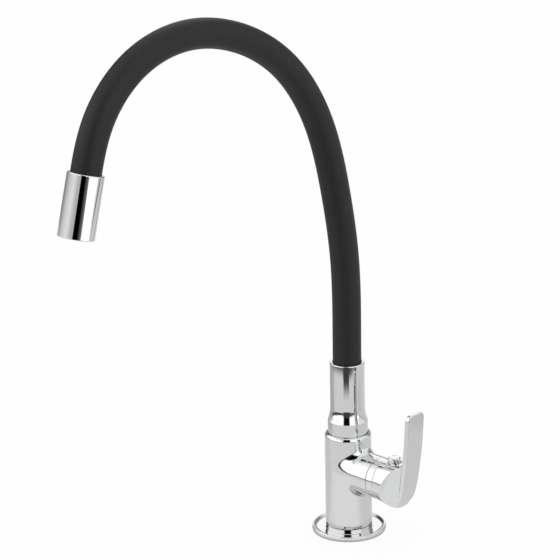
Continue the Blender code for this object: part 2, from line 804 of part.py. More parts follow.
def hub_radius(reach):
    return HUB_RADIUS + HUB_FLARE_SHARE * (reach - HUB_START)


def on_side(name, points, half_width, collection):
    # An outline in x and z, as wide as twice half_width across y.
    thing = prism(name, [(x, -z) for x, z in points], -half_width, half_width, collection=collection)
    thing.rotation_euler = (-math.pi / 2, 0, 0)
    return thing


def hub_blank(lever_axis):
    end = BLADE_TIP_REACH + OVERRUN
    corners = [(0, end), (hub_radius(end), end), (HUB_RADIUS, HUB_START), (0, HUB_START)]
    return turned("lever_handle", corners, chrome, lever_axis)


def blade_blank():
    # Everything outside the blade's back; the outer face is cut later.
    outline = blade_back()
    outline[0] = (outline[0][0], BLADE_FOOT - OVERRUN)
    outline[-1] = (outline[-1][0], BLADE_TOP + OVERRUN)
    outer = BLADE_TIP_REACH + OVERRUN
    outline += [(outer, BLADE_TOP + OVERRUN), (outer, BLADE_FOOT - OVERRUN)]
    return on_side("blade", outline, BLADE_WIDTH / 2 + OVERRUN, CUTTERS)


def blade_keeper():
    # Front view of the blade: a strip with round corners at both ends.
    half = BLADE_WIDTH / 2
    outline = [
        (-half, BLADE_TOP, BLADE_TIP_CORNER),
        (half, BLADE_TOP, BLADE_TIP_CORNER),
        (half, BLADE_FOOT, BLADE_FOOT_CORNER),
        (-half, BLADE_FOOT, BLADE_FOOT_CORNER),
    ]
    points = [(-z, y) for y, z in rounded(outline)]
    keeper = prism("blade_keeper", points, 0, BLADE_TIP_REACH + 2 * OVERRUN, collection=CUTTERS)
    keeper.rotation_euler = (0, math.pi / 2, 0)
    return keeper


def outer_keeper():
    # Everything inside the blade's outer face and heel, wider than the hub.
    face = blade_curve(BLADE_FOOT_REACH, BLADE_TIP_REACH, BLADE_FACE_SHARES)
    heel = (BLADE_FOOT_REACH - BLADE_HEEL, BLADE_FOOT - BLADE_HEEL)
    low = heel[1] - OVERRUN
    high = BLADE_TOP + 2 * OVERRUN
    outline = [(0, low), (heel[0] - OVERRUN, low), *face, (BLADE_TIP_REACH, high), (0, high)]
    return on_side("outer_keeper", outline, hub_radius(BLADE_TIP_REACH) + OVERRUN, CUTTERS)


def scoop_cutter(side):
    # A round corner that hollows the hub down to the blade's side. It narrows and leans out upwards.
    span = hub_radius(BLADE_TIP_REACH) + OVERRUN
    sections = []
    for up in (-span, span):
        radius = SCOOP_RADIUS - SCOOP_TAPER_SHARE * up
        middle = SCOOP_END + SCOOP_LEAN_SHARE * up
        outline = [(middle + span, SCOOP_WAIST)]
        for step in range(SCOOP_STEPS + 1):
            turn = math.pi / 2 * step / SCOOP_STEPS
            outline.append((middle - radius * math.sin(turn), SCOOP_WAIST + radius * (1 - math.cos(turn))))
        outline += [(middle - radius, 2 * span), (middle + span, 2 * span)]
        sections.append([(x, side * y, up + BRANCH_HEIGHT) for x, y in outline])
    return loft("scoop_left" if side < 0 else "scoop_right", sections)


def neck_fillet():
    # A concave fillet in the corner between hub and blade. Each section sinks with the hub's round top.
    back = blade_back()
    heights = [z for _, z in back]
    reaches = [x for x, _ in back]
    corner = float(np.interp(BRANCH_HEIGHT + hub_radius(BACK_TIP_REACH), heights, reaches))
    crest = hub_radius(corner)
    top = BRANCH_HEIGHT + crest
    centre = (corner - NECK_FILLET, top + NECK_FILLET)
    behind = corner + BLADE_TIP_THICKNESS / 2
    outline = [(behind, top - NECK_FILLET), (centre[0], top - NECK_FILLET)]
    outline.append((centre[0], BRANCH_HEIGHT + hub_radius(centre[0]) - NECK_SINK))
    for step in range(1, NECK_STEPS):
        turn = math.pi / 2 * step / NECK_STEPS
        outline.append((centre[0] + NECK_FILLET * math.sin(turn), centre[1] - NECK_FILLET * math.cos(turn)))
    outline += [(float(np.interp(centre[1], heights, reaches)), centre[1]), (behind, centre[1])]
    sections = []
    for step in range(NECK_SECTIONS):
        y = SCOOP_WAIST * (2 * step / (NECK_SECTIONS - 1) - 1)
        drop = crest - math.sqrt(crest**2 - y**2)
        sections.append([(x, y, z - drop) for x, z in outline])
    return loft("neck", sections)


def build_handle(lever_axis):
    hub = hub_blank(lever_axis)
    combine(hub, neck_fillet(), "UNION")
    for side in (-1, 1):
        combine(hub, scoop_cutter(side))
    blade = blade_blank()
    combine(blade, blade_keeper(), "INTERSECT")
    combine(hub, blade, "UNION")
    combine(hub, outer_keeper(), "INTERSECT")
    recess_end = HUB_START + HUB_RECESS_DEPTH
    recess = cutter_rod("hub_recess", HUB_RECESS_RADIUS, HUB_START - OVERRUN, recess_end, lever_axis)
    socket_end = spindle_end() + SEAT_GAP
    bore = SPINDLE_RADIUS + SEAT_GAP
    socket = cutter_rod("hub_socket", bore, HUB_START, socket_end, lever_axis, SMALL_SIDES)
    hub_top = BRANCH_HEIGHT + HUB_TOP_RADIUS
    screw_hole = cutter_rod(
        "set_screw_hole", SET_SCREW_RADIUS + SEAT_GAP, BRANCH_HEIGHT, hub_top + OVERRUN, sides=SMALL_SIDES
    )
    screw_hole.location = (SET_SCREW_REACH, 0, 0)
    seat = cutter_rod(
        "plug_seat", PLUG_RADIUS + SEAT_GAP, hub_top - PLUG_SEAT_DEPTH, hub_top + OVERRUN, sides=SMALL_SIDES
    )
    seat.location = (SET_SCREW_REACH, 0, 0)
    for cutter in (recess, socket, screw_hole, seat):
        combine(hub, cutter)
    bake(hub)
    smooth(hub.data)


def build_set_screw(lever_axis):
    # Local axes of the lever: +X down, +Z along the branch.
    screw_axis = empty("set_screw_axis", (0, 0, SET_SCREW_REACH), lever_axis, (0, -math.pi / 2, 0))
    low = SPINDLE_RADIUS + SEAT_GAP
    high = low + SET_SCREW_LENGTH
    corners = [(0, high), (SET_SCREW_RADIUS, high), (SET_SCREW_RADIUS, low), (0, low)]
    screw = turned("lever_set_screw", corners, steel, screw_axis, SMALL_SIDES)
    key = prism(
        "set_screw_key",
        circle_points(across_flats(SET_SCREW_KEY_FLATS), 6),
        high - SET_SCREW_KEY_DEPTH,
        high + OVERRUN,
        parent=screw_axis,
        collection=CUTTERS,
    )
    combine(screw, key)
    seat = HUB_TOP_RADIUS - PLUG_SEAT_DEPTH + SEAT_GAP
    top = HUB_TOP_RADIUS + PLUG_STAND
    stem = SET_SCREW_RADIUS - SEAT_GAP
    plug = [
        (0, top),
        (PLUG_RADIUS, top, PLUG_EDGE),
        (PLUG_RADIUS, seat),
        (stem, seat),
        (stem, seat - PLUG_STEM_LENGTH),
        (0, seat - PLUG_STEM_LENGTH),
    ]
    turned("set_screw_plug", plug, chrome, screw_axis, SMALL_SIDES)


# Collar and swivel


def collar_foot():
    return BODY_TOP - LIP_DEPTH + SEAT_GAP + GLIDE_THICKNESS + SEAT_GAP


def flare_points():
    # Concave sweep from the shoulder to the tube, tangent to the tube at its top.
    drop = COLLAR_FLARE_TOP - COLLAR_BAND_TOP
    width = COLLAR_SHOULDER_RADIUS - COLLAR_TUBE_RADIUS
    points = []
    for step in range(FILLET_STEPS + 1):
        share = step / FILLET_STEPS
        points.append((COLLAR_TUBE_RADIUS + width * share**2, COLLAR_FLARE_TOP - drop * share))
    return points


def build_collar(swivel_axis):
    foot = collar_foot()
    socket = HOSE_RADIUS + SOCKET_CLEARANCE
    corners = [(socket, COLLAR_TOP), (COLLAR_TUBE_RADIUS, COLLAR_TOP, COLLAR_LIP)]
    corners += flare_points()
    corners += [
        (COLLAR_BAND_RADIUS, COLLAR_BAND_TOP),
        (COLLAR_BAND_RADIUS, foot, COLLAR_LIP),
        (SPIGOT_RADIUS + SEAT_GAP, foot),
        (SPIGOT_RADIUS + SEAT_GAP, SPIGOT_TOP + SEAT_GAP),
        (COLLAR_WATERWAY, SPIGOT_TOP + SEAT_GAP),
        (COLLAR_WATERWAY, HOSE_SOCKET_FLOOR),
        (socket, HOSE_SOCKET_FLOOR),
    ]
    lowered = [(corner[0], corner[1] - BODY_TOP, *corner[2:]) for corner in corners]
    turned("spout_collar", lowered, chrome, swivel_axis)


def oring_heights():
    bore_floor = BODY_TOP - LIP_DEPTH - SPOUT_BORE_DEPTH
    low = bore_floor + SNAP_GROOVE_HEIGHT
    span = BODY_TOP - LIP_DEPTH - low
    return [low + span * ORING_LOW_SHARE, low + span * ORING_HIGH_SHARE]


def build_spigot(swivel_axis):
    bore_floor = BODY_TOP - LIP_DEPTH - SPOUT_BORE_DEPTH
    foot = bore_floor + SPIGOT_FOOT_GAP
    root = SPIGOT_RADIUS - GROOVE_DEPTH
    bore = SPIGOT_RADIUS - SPIGOT_WALL
    snap_low = bore_floor + SNAP_GROOVE_HEIGHT - SEAT_GAP - SNAP_THICKNESS
    snap_high = snap_low + SNAP_THICKNESS
    corners = [(SPIGOT_RADIUS, SPIGOT_TOP)]
    for height in reversed(oring_heights()):
        half = ORING_THICKNESS / 2 + SEAT_GAP
        corners += [(SPIGOT_RADIUS, height + half), (root, height + half)]
        corners += [(root, height - half), (SPIGOT_RADIUS, height - half)]
    corners += [
        (SPIGOT_RADIUS, snap_high + SEAT_GAP),
        (SPIGOT_RADIUS - SNAP_DEPTH, snap_high + SEAT_GAP),
        (SPIGOT_RADIUS - SNAP_DEPTH, snap_low - SEAT_GAP),
        (SPIGOT_RADIUS, snap_low - SEAT_GAP),
        (SPIGOT_RADIUS, foot),
        (bore, foot),
        (bore, SPIGOT_TOP),
    ]
    lowered = [(radius, height - BODY_TOP) for radius, height in corners]
    turned("swivel_spigot", lowered, brass, swivel_axis, MID_SIDES)
    for name, height in zip(("swivel_oring_lower", "swivel_oring_upper"), oring_heights()):
        low = height - ORING_THICKNESS / 2 - BODY_TOP
        outer = SPOUT_BORE - SEAT_GAP / 2
        ring(name, outer, root + SEAT_GAP, low, low + ORING_THICKNESS, rubber, swivel_axis, MID_SIDES)
    inner = SPIGOT_RADIUS - SNAP_DEPTH + SEAT_GAP
    outer = SPOUT_BORE + SNAP_GROOVE_DEPTH - SEAT_GAP
    low = snap_low - BODY_TOP
    ring("swivel_snap_ring", outer, inner, low, low + SNAP_THICKNESS, steel, swivel_axis)


def build_glide_washer(swivel_axis):
    low = SEAT_GAP - LIP_DEPTH
    outer = BODY_RADIUS - LIP_WIDTH - SEAT_GAP
    inner = SPIGOT_RADIUS + 2 * SEAT_GAP
    ring("swivel_glide_washer", outer, inner, low, low + GLIDE_THICKNESS, plastic, swivel_axis)


# Flexible spout: a sleeve over a core over a water tube


def route_curve():
    # A clamped cubic through the route's points: straight up at the collar, along the nozzle's
    # axis at the end. Gives dense points and their lengths along the curve.
    knots = np.array([(reach * SPOUT_REACH, COLLAR_TOP + rise * ARCH_RISE) for reach, rise in ROUTE_SHARES])
    spans = np.hypot(*np.diff(knots, axis=0).T)
    count = len(knots)
    system = np.zeros((count, count))
    target = np.zeros((count, 2))
    system[0, 0] = 1
    system[-1, -1] = 1
    target[0] = (0, 1)
    target[-1] = (math.sin(OUTLET_TILT), -math.cos(OUTLET_TILT))
    for i in range(1, count - 1):
        before = spans[i - 1]
        after = spans[i]
        system[i, i - 1 : i + 2] = (after, 2 * (before + after), before)
        rise_before = (knots[i] - knots[i - 1]) / before
        rise_after = (knots[i + 1] - knots[i]) / after
        target[i] = 3 * (after * rise_before + before * rise_after)
    slopes = np.linalg.solve(system, target)
    points = [knots[0]]
    for i in range(count - 1):
        steps = ROUTE_SAMPLES // (count - 1)
        for t in np.linspace(0, 1, steps + 1)[1:]:
            points.append(
                (2 * t**3 - 3 * t**2 + 1) * knots[i]
                + (t**3 - 2 * t**2 + t) * spans[i] * slopes[i]
                + (3 * t**2 - 2 * t**3) * knots[i + 1]
                + (t**3 - t**2) * spans[i] * slopes[i + 1]
            )
    points = np.array(points)
    lengths = np.concatenate([[0], np.cumsum(np.hypot(*np.diff(points, axis=0).T))])
    return points, lengths


ROUTE_POINTS, ROUTE_LENGTHS = route_curve()
FREE_LENGTH = float(ROUTE_LENGTHS[-1])


def along_hose(distance):
    # World point on the centre line, with straight tails into the collar and into the nozzle.
    if distance < 0:
        return np.array((0, 0, COLLAR_TOP + distance))
    reach = np.interp(distance, ROUTE_LENGTHS, ROUTE_POINTS[:, 0])
    height = np.interp(distance, ROUTE_LENGTHS, ROUTE_POINTS[:, 1])
    extra = max(distance - FREE_LENGTH, 0)
    reach = reach + extra * math.sin(OUTLET_TILT)
    height = height - extra * math.cos(OUTLET_TILT)
    return np.array((0, -reach, height))


def hose_heading(distance):
    ahead = along_hose(distance + END_RUN) - along_hose(distance - END_RUN)
    return math.atan2(ahead[2], -ahead[1])


def hose_stations(start, end):
    # Rings stand closer where the hose bends more.
    low = start + END_RUN
    high = end - END_RUN
    turned_by = abs(hose_heading(low) - hose_heading(high))
    spans = max(1, math.ceil(turned_by / RING_TURN), math.ceil((high - low) / RING_STEP))
    return [start, *np.linspace(low, high, spans + 1), end]


def hose_tube(name, start, end, radius, wall, resolution, material, holder):
    # An open bevelled curve, made a mesh and thickened inwards.
    stations = hose_stations(start, end)
    origin = np.array(holder.location)
    spline_points = [along_hose(station) - origin for station in stations]
    curve = bpy.data.curves.new(name, "CURVE")
    curve.dimensions = "3D"
    curve.bevel_depth = radius
    curve.bevel_resolution = resolution
    curve.use_fill_caps = False
    spline = curve.splines.new("POLY")
    spline.points.add(len(spline_points) - 1)
    for point, place in zip(spline.points, spline_points):
        point.co = (*place, 1)
    guide = bpy.data.objects.new(name + "_guide", curve)
    FAUCET.objects.link(guide)
    graph = bpy.context.evaluated_depsgraph_get()
    mesh = bpy.data.meshes.new_from_object(guide.evaluated_get(graph))
    bpy.data.objects.remove(guide)
    work = bmesh.new()
    work.from_mesh(mesh)
    bmesh.ops.remove_doubles(work, verts=work.verts, dist=WELD)
    bmesh.ops.recalc_face_normals(work, faces=work.faces)
    work.to_mesh(mesh)
    work.free()
    mesh.name = name
    thing = add_object(name, mesh, material, holder)
    shell = thing.modifiers.new("wall", "SOLIDIFY")
    shell.thickness = wall
    shell.offset = -1
    shell.use_even_offset = True
    smooth(mesh)
    return thing


def hose_marks():
    lower = LOWER_FLEX_SHARE * FREE_LENGTH
    upper = UPPER_FLEX_SHARE * FREE_LENGTH
    half = FLEX_LENGTH / 2
    foot = HOSE_SOCKET_FLOOR + SEAT_GAP + FITTING_FLANGE + SEAT_GAP - COLLAR_TOP
    head = FREE_LENGTH + NOZZLE_SOCKET_DEPTH
    return [foot, lower - half, lower + half, upper - half, upper + half, head]


def build_hose(swivel_axis, arch_axis, outlet_axis):
    marks = hose_marks()
    holders = (swivel_axis, swivel_axis, arch_axis, arch_axis, outlet_axis)
    names = ("lower", "lower_bend", "arch", "upper_bend", "outlet")
    layers = (
        ("spout_sleeve", HOSE_RADIUS, SLEEVE_WALL, SLEEVE_RESOLUTION, silicone),
        ("gooseneck_core", CORE_RADIUS, CORE_WALL, CORE_RESOLUTION, steel),
        ("water_tube", TUBE_RADIUS, TUBE_WALL, TUBE_RESOLUTION, plastic),
    )
    for layer, radius, wall, resolution, material in layers:
        for index, (name, holder) in enumerate(zip(names, holders)):
            start = marks[index] + (SEAT_GAP / 2 if index else 0)
            end = marks[index + 1] - (SEAT_GAP / 2 if index < len(names) - 1 else 0)
            hose_tube(f"{layer}_{name}", start, end, radius, wall, resolution, material, holder)


def build_lower_fitting(swivel_axis):
    floor = HOSE_SOCKET_FLOOR + SEAT_GAP - BODY_TOP
    flange_top = floor + FITTING_FLANGE
    corners = [
        (STUB_RADIUS, flange_top + STUB_LENGTH),
        (STUB_RADIUS, flange_top),
        (HOSE_RADIUS, flange_top),
        (HOSE_RADIUS, floor),
        (FITTING_SPIGOT_RADIUS, floor),
        (FITTING_SPIGOT_RADIUS, floor - FITTING_SPIGOT_LENGTH),
        (FITTING_BORE, floor - FITTING_SPIGOT_LENGTH),
        (FITTING_BORE, flange_top + STUB_LENGTH),
    ]
    turned("lower_hose_fitting", corners, brass, swivel_axis, SMALL_SIDES)


# Nozzle and what it holds; its own Z runs up the hose from the nozzle's top


def build_upper_fitting(nozzle_axis):
    flange_top = -NOZZLE_SOCKET_DEPTH - SEAT_GAP
    flange_low = flange_top - FITTING_FLANGE
    corners = [
        (STUB_RADIUS, flange_top + STUB_LENGTH),
        (STUB_RADIUS, flange_top),
        (HOSE_RADIUS, flange_top),
        (HOSE_RADIUS, flange_low),
        (FITTING_SPIGOT_RADIUS, flange_low),
        (FITTING_SPIGOT_RADIUS, flange_low - FITTING_SPIGOT_LENGTH),
        (FITTING_BORE, flange_low - FITTING_SPIGOT_LENGTH),
        (FITTING_BORE, flange_top + STUB_LENGTH),
    ]
    turned("upper_hose_fitting", corners, brass, nozzle_axis, SMALL_SIDES)


def web_levels():
    top = -NOZZLE_SOCKET_DEPTH - SEAT_GAP - FITTING_FLANGE - SEAT_GAP
    return top, top - NOZZLE_WEB


def build_nozzle(nozzle_axis):
    web_top, web_low = web_levels()
    socket = HOSE_RADIUS + SOCKET_CLEARANCE
    corners = [
        (NOZZLE_RADIUS, 0, NOZZLE_TOP_EDGE),
        (NOZZLE_RADIUS, -NOZZLE_LENGTH, NOZZLE_FOOT_EDGE),
        (NOZZLE_CAVITY_RADIUS, -NOZZLE_LENGTH),
        (NOZZLE_CAVITY_RADIUS, web_low),
        (FITTING_SPIGOT_RADIUS + SEAT_GAP, web_low),
        (FITTING_SPIGOT_RADIUS + SEAT_GAP, web_top),
        (socket, web_top),
        (socket, 0),
    ]
    turned("nozzle_shell", corners, chrome, nozzle_axis)


def aerator_top():
    return web_levels()[1] - SEAT_GAP - SEAL_WASHER_THICKNESS - SEAT_GAP


def aerator_foot():
    return -NOZZLE_LENGTH + AERATOR_INSET


def build_aerator(nozzle_axis):
    washer_top = web_levels()[1] - SEAT_GAP
    washer_low = washer_top - SEAL_WASHER_THICKNESS
    washer_bore = FITTING_SPIGOT_RADIUS + SEAT_GAP
    ring("nozzle_seal_washer", AERATOR_RADIUS, washer_bore, washer_low, washer_top, rubber, nozzle_axis)
    top = aerator_top()
    foot = aerator_foot()
    bore = AERATOR_RADIUS - AERATOR_WALL
    ledge = foot + AERATOR_LEDGE
    shelf = top - REGULATOR_THICKNESS - SEAT_GAP
    corners = [
        (AERATOR_RADIUS, top),
        (AERATOR_RADIUS, foot),
        (bore - AERATOR_LEDGE, foot),
        (bore - AERATOR_LEDGE, ledge),
        (bore, ledge),
        (bore, shelf - AERATOR_LEDGE),
        (bore - AERATOR_LEDGE, shelf - AERATOR_LEDGE),
        (bore - AERATOR_LEDGE, shelf),
        (bore, shelf),
        (bore, top),
    ]
    turned("aerator_housing", corners, plastic, nozzle_axis, MID_SIDES)
    build_regulator(nozzle_axis, bore - SEAT_GAP, shelf + SEAT_GAP)
    build_grille(nozzle_axis, bore - SEAT_GAP, ledge + SEAT_GAP)


def build_regulator(nozzle_axis, radius, low):
    high = low + REGULATOR_THICKNESS - SEAT_GAP
    regulator = plate("flow_regulator", radius, low, high, plastic, nozzle_axis)
    low = low - OVERRUN
    top = high + OVERRUN
    for index in range(REGULATOR_HOLES):
        turn = 2 * math.pi * index / REGULATOR_HOLES
        reach = radius * REGULATOR_RING_SHARE
        centre = (reach * math.cos(turn), reach * math.sin(turn))
        name = f"regulator_hole_{index + 1}"
        hole = cutter_rod(name, REGULATOR_HOLE_RADIUS, low, top, nozzle_axis, REGULATOR_HOLE_SIDES, centre)
        combine(regulator, hole)


def build_grille(nozzle_axis, radius, low):
    # Honeycomb of hexagon cells: rows one pitch apart along X, alternate rows set over by half.
    high = low + GRILLE_THICKNESS
    grille = plate("aerator_grille", radius, low, high, plastic, nozzle_axis)
    mesh = bpy.data.meshes.new("grille_cells")
    work = bmesh.new()
    cell = across_flats(GRILLE_CELL)
    row_step = GRILLE_PITCH * math.sin(math.pi / 3)
    reach = radius - GRILLE_PITCH / 2
    rows = math.ceil(reach / row_step)
    for row in range(-rows, rows + 1):
        shift = GRILLE_PITCH / 2 * (row % 2)
        columns = math.ceil(reach / GRILLE_PITCH)
        for column in range(-columns - 1, columns + 1):
            centre = (column * GRILLE_PITCH + shift, row * row_step)
            if math.hypot(*centre) + cell > radius - (GRILLE_PITCH - GRILLE_CELL) / 2:
                continue
            points = circle_points(cell, 6, centre, math.pi / 6)
            low_ring = [work.verts.new((x, y, low - OVERRUN)) for x, y in points]
            high_ring = [work.verts.new((x, y, high + OVERRUN)) for x, y in points]
            work.faces.new(low_ring[::-1])
            work.faces.new(high_ring)
            for side in range(6):
                after = (side + 1) % 6
                work.faces.new((low_ring[side], low_ring[after], high_ring[after], high_ring[side]))
    work.to_mesh(mesh)
    work.free()
    combine(grille, add_object("grille_cells", mesh, None, nozzle_axis, CUTTERS))


# Assembly


def build_faucet():
    along_x = (0, math.pi / 2, 0)
    branch_axis = empty("branch_axis", (0, 0, BRANCH_HEIGHT), rotation=along_x)
    lever_axis = empty("lever_axis", (0, 0, BRANCH_HEIGHT), rotation=along_x)
    swivel_axis = empty("swivel_axis", (0, 0, BODY_TOP))
    arch_axis = empty("arch_flex_axis", tuple(along_hose(LOWER_FLEX_SHARE * FREE_LENGTH)))
    outlet_axis = empty("outlet_flex_axis", tuple(along_hose(UPPER_FLEX_SHARE * FREE_LENGTH)))
    nozzle_place = along_hose(FREE_LENGTH) - np.array(outlet_axis.location)
    nozzle_axis = empty("nozzle_axis", tuple(nozzle_place), outlet_axis, (-OUTLET_TILT, 0, 0))
    bpy.context.view_layer.update()

    build_flange()
    build_gasket()
    build_shank()
    build_clamp_set()
    build_body(branch_axis)
    build_trim_ring(branch_axis)
    build_seat_seal(branch_axis)
    build_discs(branch_axis, lever_axis)
    build_housing(branch_axis)
    build_spindle(lever_axis)
    build_handle(lever_axis)
    build_set_screw(lever_axis)
    build_collar(swivel_axis)
    build_spigot(swivel_axis)
    build_glide_washer(swivel_axis)
    build_lower_fitting(swivel_axis)
    build_hose(swivel_axis, arch_axis, outlet_axis)
    build_upper_fitting(nozzle_axis)
    build_nozzle(nozzle_axis)
    build_aerator(nozzle_axis)


build_faucet()
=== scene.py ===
# Looks of a kitchen faucet: chrome body and lever, charcoal silicone spout, chrome nozzle.
# Lengths in the dictionaries are in millimetres and angles in degrees, unless a note says otherwise.

import json
import math

import bpy
import numpy as np
from mathutils import Matrix, Vector


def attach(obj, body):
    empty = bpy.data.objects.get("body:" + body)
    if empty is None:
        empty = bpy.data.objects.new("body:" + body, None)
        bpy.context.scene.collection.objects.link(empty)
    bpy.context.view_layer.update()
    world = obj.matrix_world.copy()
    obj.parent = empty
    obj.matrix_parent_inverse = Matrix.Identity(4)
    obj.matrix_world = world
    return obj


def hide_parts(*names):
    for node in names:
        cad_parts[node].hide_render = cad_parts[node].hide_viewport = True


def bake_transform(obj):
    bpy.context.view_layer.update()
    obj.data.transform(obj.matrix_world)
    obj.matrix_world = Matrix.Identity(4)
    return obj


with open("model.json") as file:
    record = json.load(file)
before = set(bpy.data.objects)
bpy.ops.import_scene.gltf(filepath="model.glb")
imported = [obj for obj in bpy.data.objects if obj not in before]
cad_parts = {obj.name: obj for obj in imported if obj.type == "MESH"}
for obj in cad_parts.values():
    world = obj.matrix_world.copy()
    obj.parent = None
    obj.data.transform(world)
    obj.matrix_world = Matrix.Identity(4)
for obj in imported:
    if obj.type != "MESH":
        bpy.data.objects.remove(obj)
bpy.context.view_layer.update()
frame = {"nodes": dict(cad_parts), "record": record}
mm = 0.001
print("stage: frame loaded, pieces:", len(frame["nodes"]))


# Camera

view = {
    "place": (1279.9, -1344.3, 800.3),
    "azimuth": 45.0,
    "elevation": 18.31,
    "roll": -1.14,
    "lens": 182.29,
    "sensor": 36.0,
    "clipEnd": 50000.0,
}


def addCamera():
    data = bpy.data.cameras.new("photoCamera")
    data.lens = view["lens"]
    data.sensor_width = view["sensor"]
    data.clip_end = view["clipEnd"] * mm
    data.dof.use_dof = False
    turn = math.radians(view["azimuth"])
    lift = math.radians(view["elevation"])
    roll = math.radians(view["roll"])
    back = Vector((math.sin(turn) * math.cos(lift), -math.cos(turn) * math.cos(lift), math.sin(lift)))
    right = Vector((math.cos(turn), math.sin(turn), 0))
    up = back.cross(right)
    across = right * math.cos(roll) + up * math.sin(roll)
    upright = up * math.cos(roll) - right * math.sin(roll)
    pose = Matrix((across, upright, back)).transposed().to_4x4()
    pose.translation = Vector(view["place"]) * mm
    camera = bpy.data.objects.new("photoCamera", data)
    bpy.context.scene.collection.objects.link(camera)
    camera.matrix_world = pose
    bpy.context.scene.camera = camera


addCamera()
print("stage: camera placed")


# Shader helpers

class Wire:
    # A socket that can be used in sums; each operator adds a Math node.
    def __init__(self, tree, socket):
        self.tree = tree
        self.socket = socket

    def combine(self, operation, first, second):
        node = self.tree.nodes.new("ShaderNodeMath")
        node.operation = operation
        for slot, value in zip(node.inputs, (first, second)):
            if isinstance(value, Wire):
                self.tree.links.new(value.socket, slot)
            else:
                slot.default_value = value
        return Wire(self.tree, node.outputs[0])

    def __add__(self, other):
        return self.combine("ADD", self, other)

    __radd__ = __add__

    def __sub__(self, other):
        return self.combine("SUBTRACT", self, other)

    def __rsub__(self, other):
        return self.combine("SUBTRACT", other, self)

    def __mul__(self, other):
        return self.combine("MULTIPLY", self, other)

    __rmul__ = __mul__

    def __truediv__(self, other):
        return self.combine("DIVIDE", self, other)

    def __rtruediv__(self, other):
        return self.combine("DIVIDE", other, self)


class Finish:
    # A material, or another shader tree, with one method that makes any node.
    def __init__(self, name, tree=None):
        if tree is None:
            self.material = bpy.data.materials.new(name)
            self.material.use_nodes = True
            tree = self.material.node_tree
        self.tree = tree
        tree.nodes.clear()

    def node(self, kind, settings=None, inputs=None, output=0):
        made = self.tree.nodes.new(kind)
        for key, value in (settings or {}).items():
            if key == "stops":
                ramp = made.color_ramp
                while len(ramp.elements) < len(value):
                    ramp.elements.new(1)
                for element, (place, colour) in zip(ramp.elements, value):
                    element.position = place
                    element.color = (*colour, 1)
            else:
                setattr(made, key, value)
        for key, value in (inputs or {}).items():
            socket = made.inputs[key]
            if isinstance(value, Wire):
                self.tree.links.new(value.socket, socket)
            else:
                socket.default_value = value
        return Wire(self.tree, made.outputs[output]) if len(made.outputs) else made

    def noise(self, scale, detail, roughness=0.55):
        place = self.node("ShaderNodeTexCoord", output="Object")
        inputs = {"Vector": place, "Scale": scale, "Detail": detail, "Roughness": roughness}
        return self.node("ShaderNodeTexNoise", inputs=inputs, output="Fac")

    def spread(self, value, low, high):
        inputs = {"Value": value, "To Min": low, "To Max": high}
        return self.node("ShaderNodeMapRange", {"clamp": True}, inputs, "Result")

    def maths(self, operation, value):
        return self.node("ShaderNodeMath", {"operation": operation}, {0: value})

    def step(self, value, low, high):
        # 0 below low, 1 above high, and a soft change between them.
        inputs = {"Value": value, "From Min": low, "From Max": high}
        return self.node("ShaderNodeMapRange", {"interpolation_type": "SMOOTHSTEP"}, inputs, "Result")

    def fromRay(self, kind):
        return self.node("ShaderNodeLightPath", output=f"Is {kind} Ray")

    def mixed(self, share, first, second):
        return self.node("ShaderNodeMixShader", inputs={0: share, 1: first, 2: second})

    def blend(self, share, first, second):
        settings = {"data_type": "RGBA"}
        return self.node("ShaderNodeMix", settings, {0: share, 6: (*first, 1), 7: (*second, 1)}, 2)

    def bump(self, height, strength, distance):
        inputs = {"Height": height, "Strength": strength, "Distance": distance}
        return self.node("ShaderNodeBump", inputs=inputs, output="Normal")

    def surface(self, **sockets):
        names = {key.replace("_", " "): value for key, value in sockets.items()}
        shader = self.node("ShaderNodeBsdfPrincipled", inputs=names)
        self.node("ShaderNodeOutputMaterial", inputs={"Surface": shader})
        return self.material


# Finishes

# A noise is its scale and detail, with a roughness where it isn't the usual one. A bump is its strength
# and its depth in metres.
chromeLook = {
    "tint": (0.722, 0.726, 0.733),
    "tintWorn": (0.700, 0.704, 0.711),
    "roughness": (0.012, 0.035),
    "marks": (35, 4),
    "peel": (420, 2),
    "peelBump": (0.1, 0.00000025),
}


def chromeFinish():
    # Polished plating: a very shallow orange peel and faint wipe marks in the gloss.
    finish = Finish("polishedChrome")
    marks = finish.noise(*chromeLook["marks"])
    peel = finish.noise(*chromeLook["peel"])
    return finish.surface(
        Base_Color=finish.blend(marks, chromeLook["tint"], chromeLook["tintWorn"]),
        Metallic=1.0,
        Roughness=finish.spread(marks, *chromeLook["roughness"]),
        Normal=finish.bump(peel, *chromeLook["peelBump"]),
    )


siliconeLook = {
    "colour": (0.0095, 0.0095, 0.0098),
    "colourDusty": (0.0136, 0.0136, 0.0140),
    "roughness": (0.46, 0.58),
    "gloss": 0.30,
    "clouds": (28, 5),
    "grain": (1900, 3, 0.7),
    "grainBump": (0.35, 0.00003),
}


def siliconeFinish():
    # Moulded sleeve: charcoal, with a fine matte grain and slight handling marks.
    finish = Finish("charcoalSilicone")
    cloudy = finish.noise(*siliconeLook["clouds"])
    grain = finish.noise(*siliconeLook["grain"])
    return finish.surface(
        Base_Color=finish.blend(cloudy, siliconeLook["colour"], siliconeLook["colourDusty"]),
        Roughness=finish.spread(cloudy, *siliconeLook["roughness"]),
        Specular_IOR_Level=siliconeLook["gloss"],
        Normal=finish.bump(grain, *siliconeLook["grainBump"]),
    )


turnedLook = {"tarnish": (90, 5), "tarnishShare": 0.6, "lineDetail": 2, "lineBump": (0.2, 0.00001)}


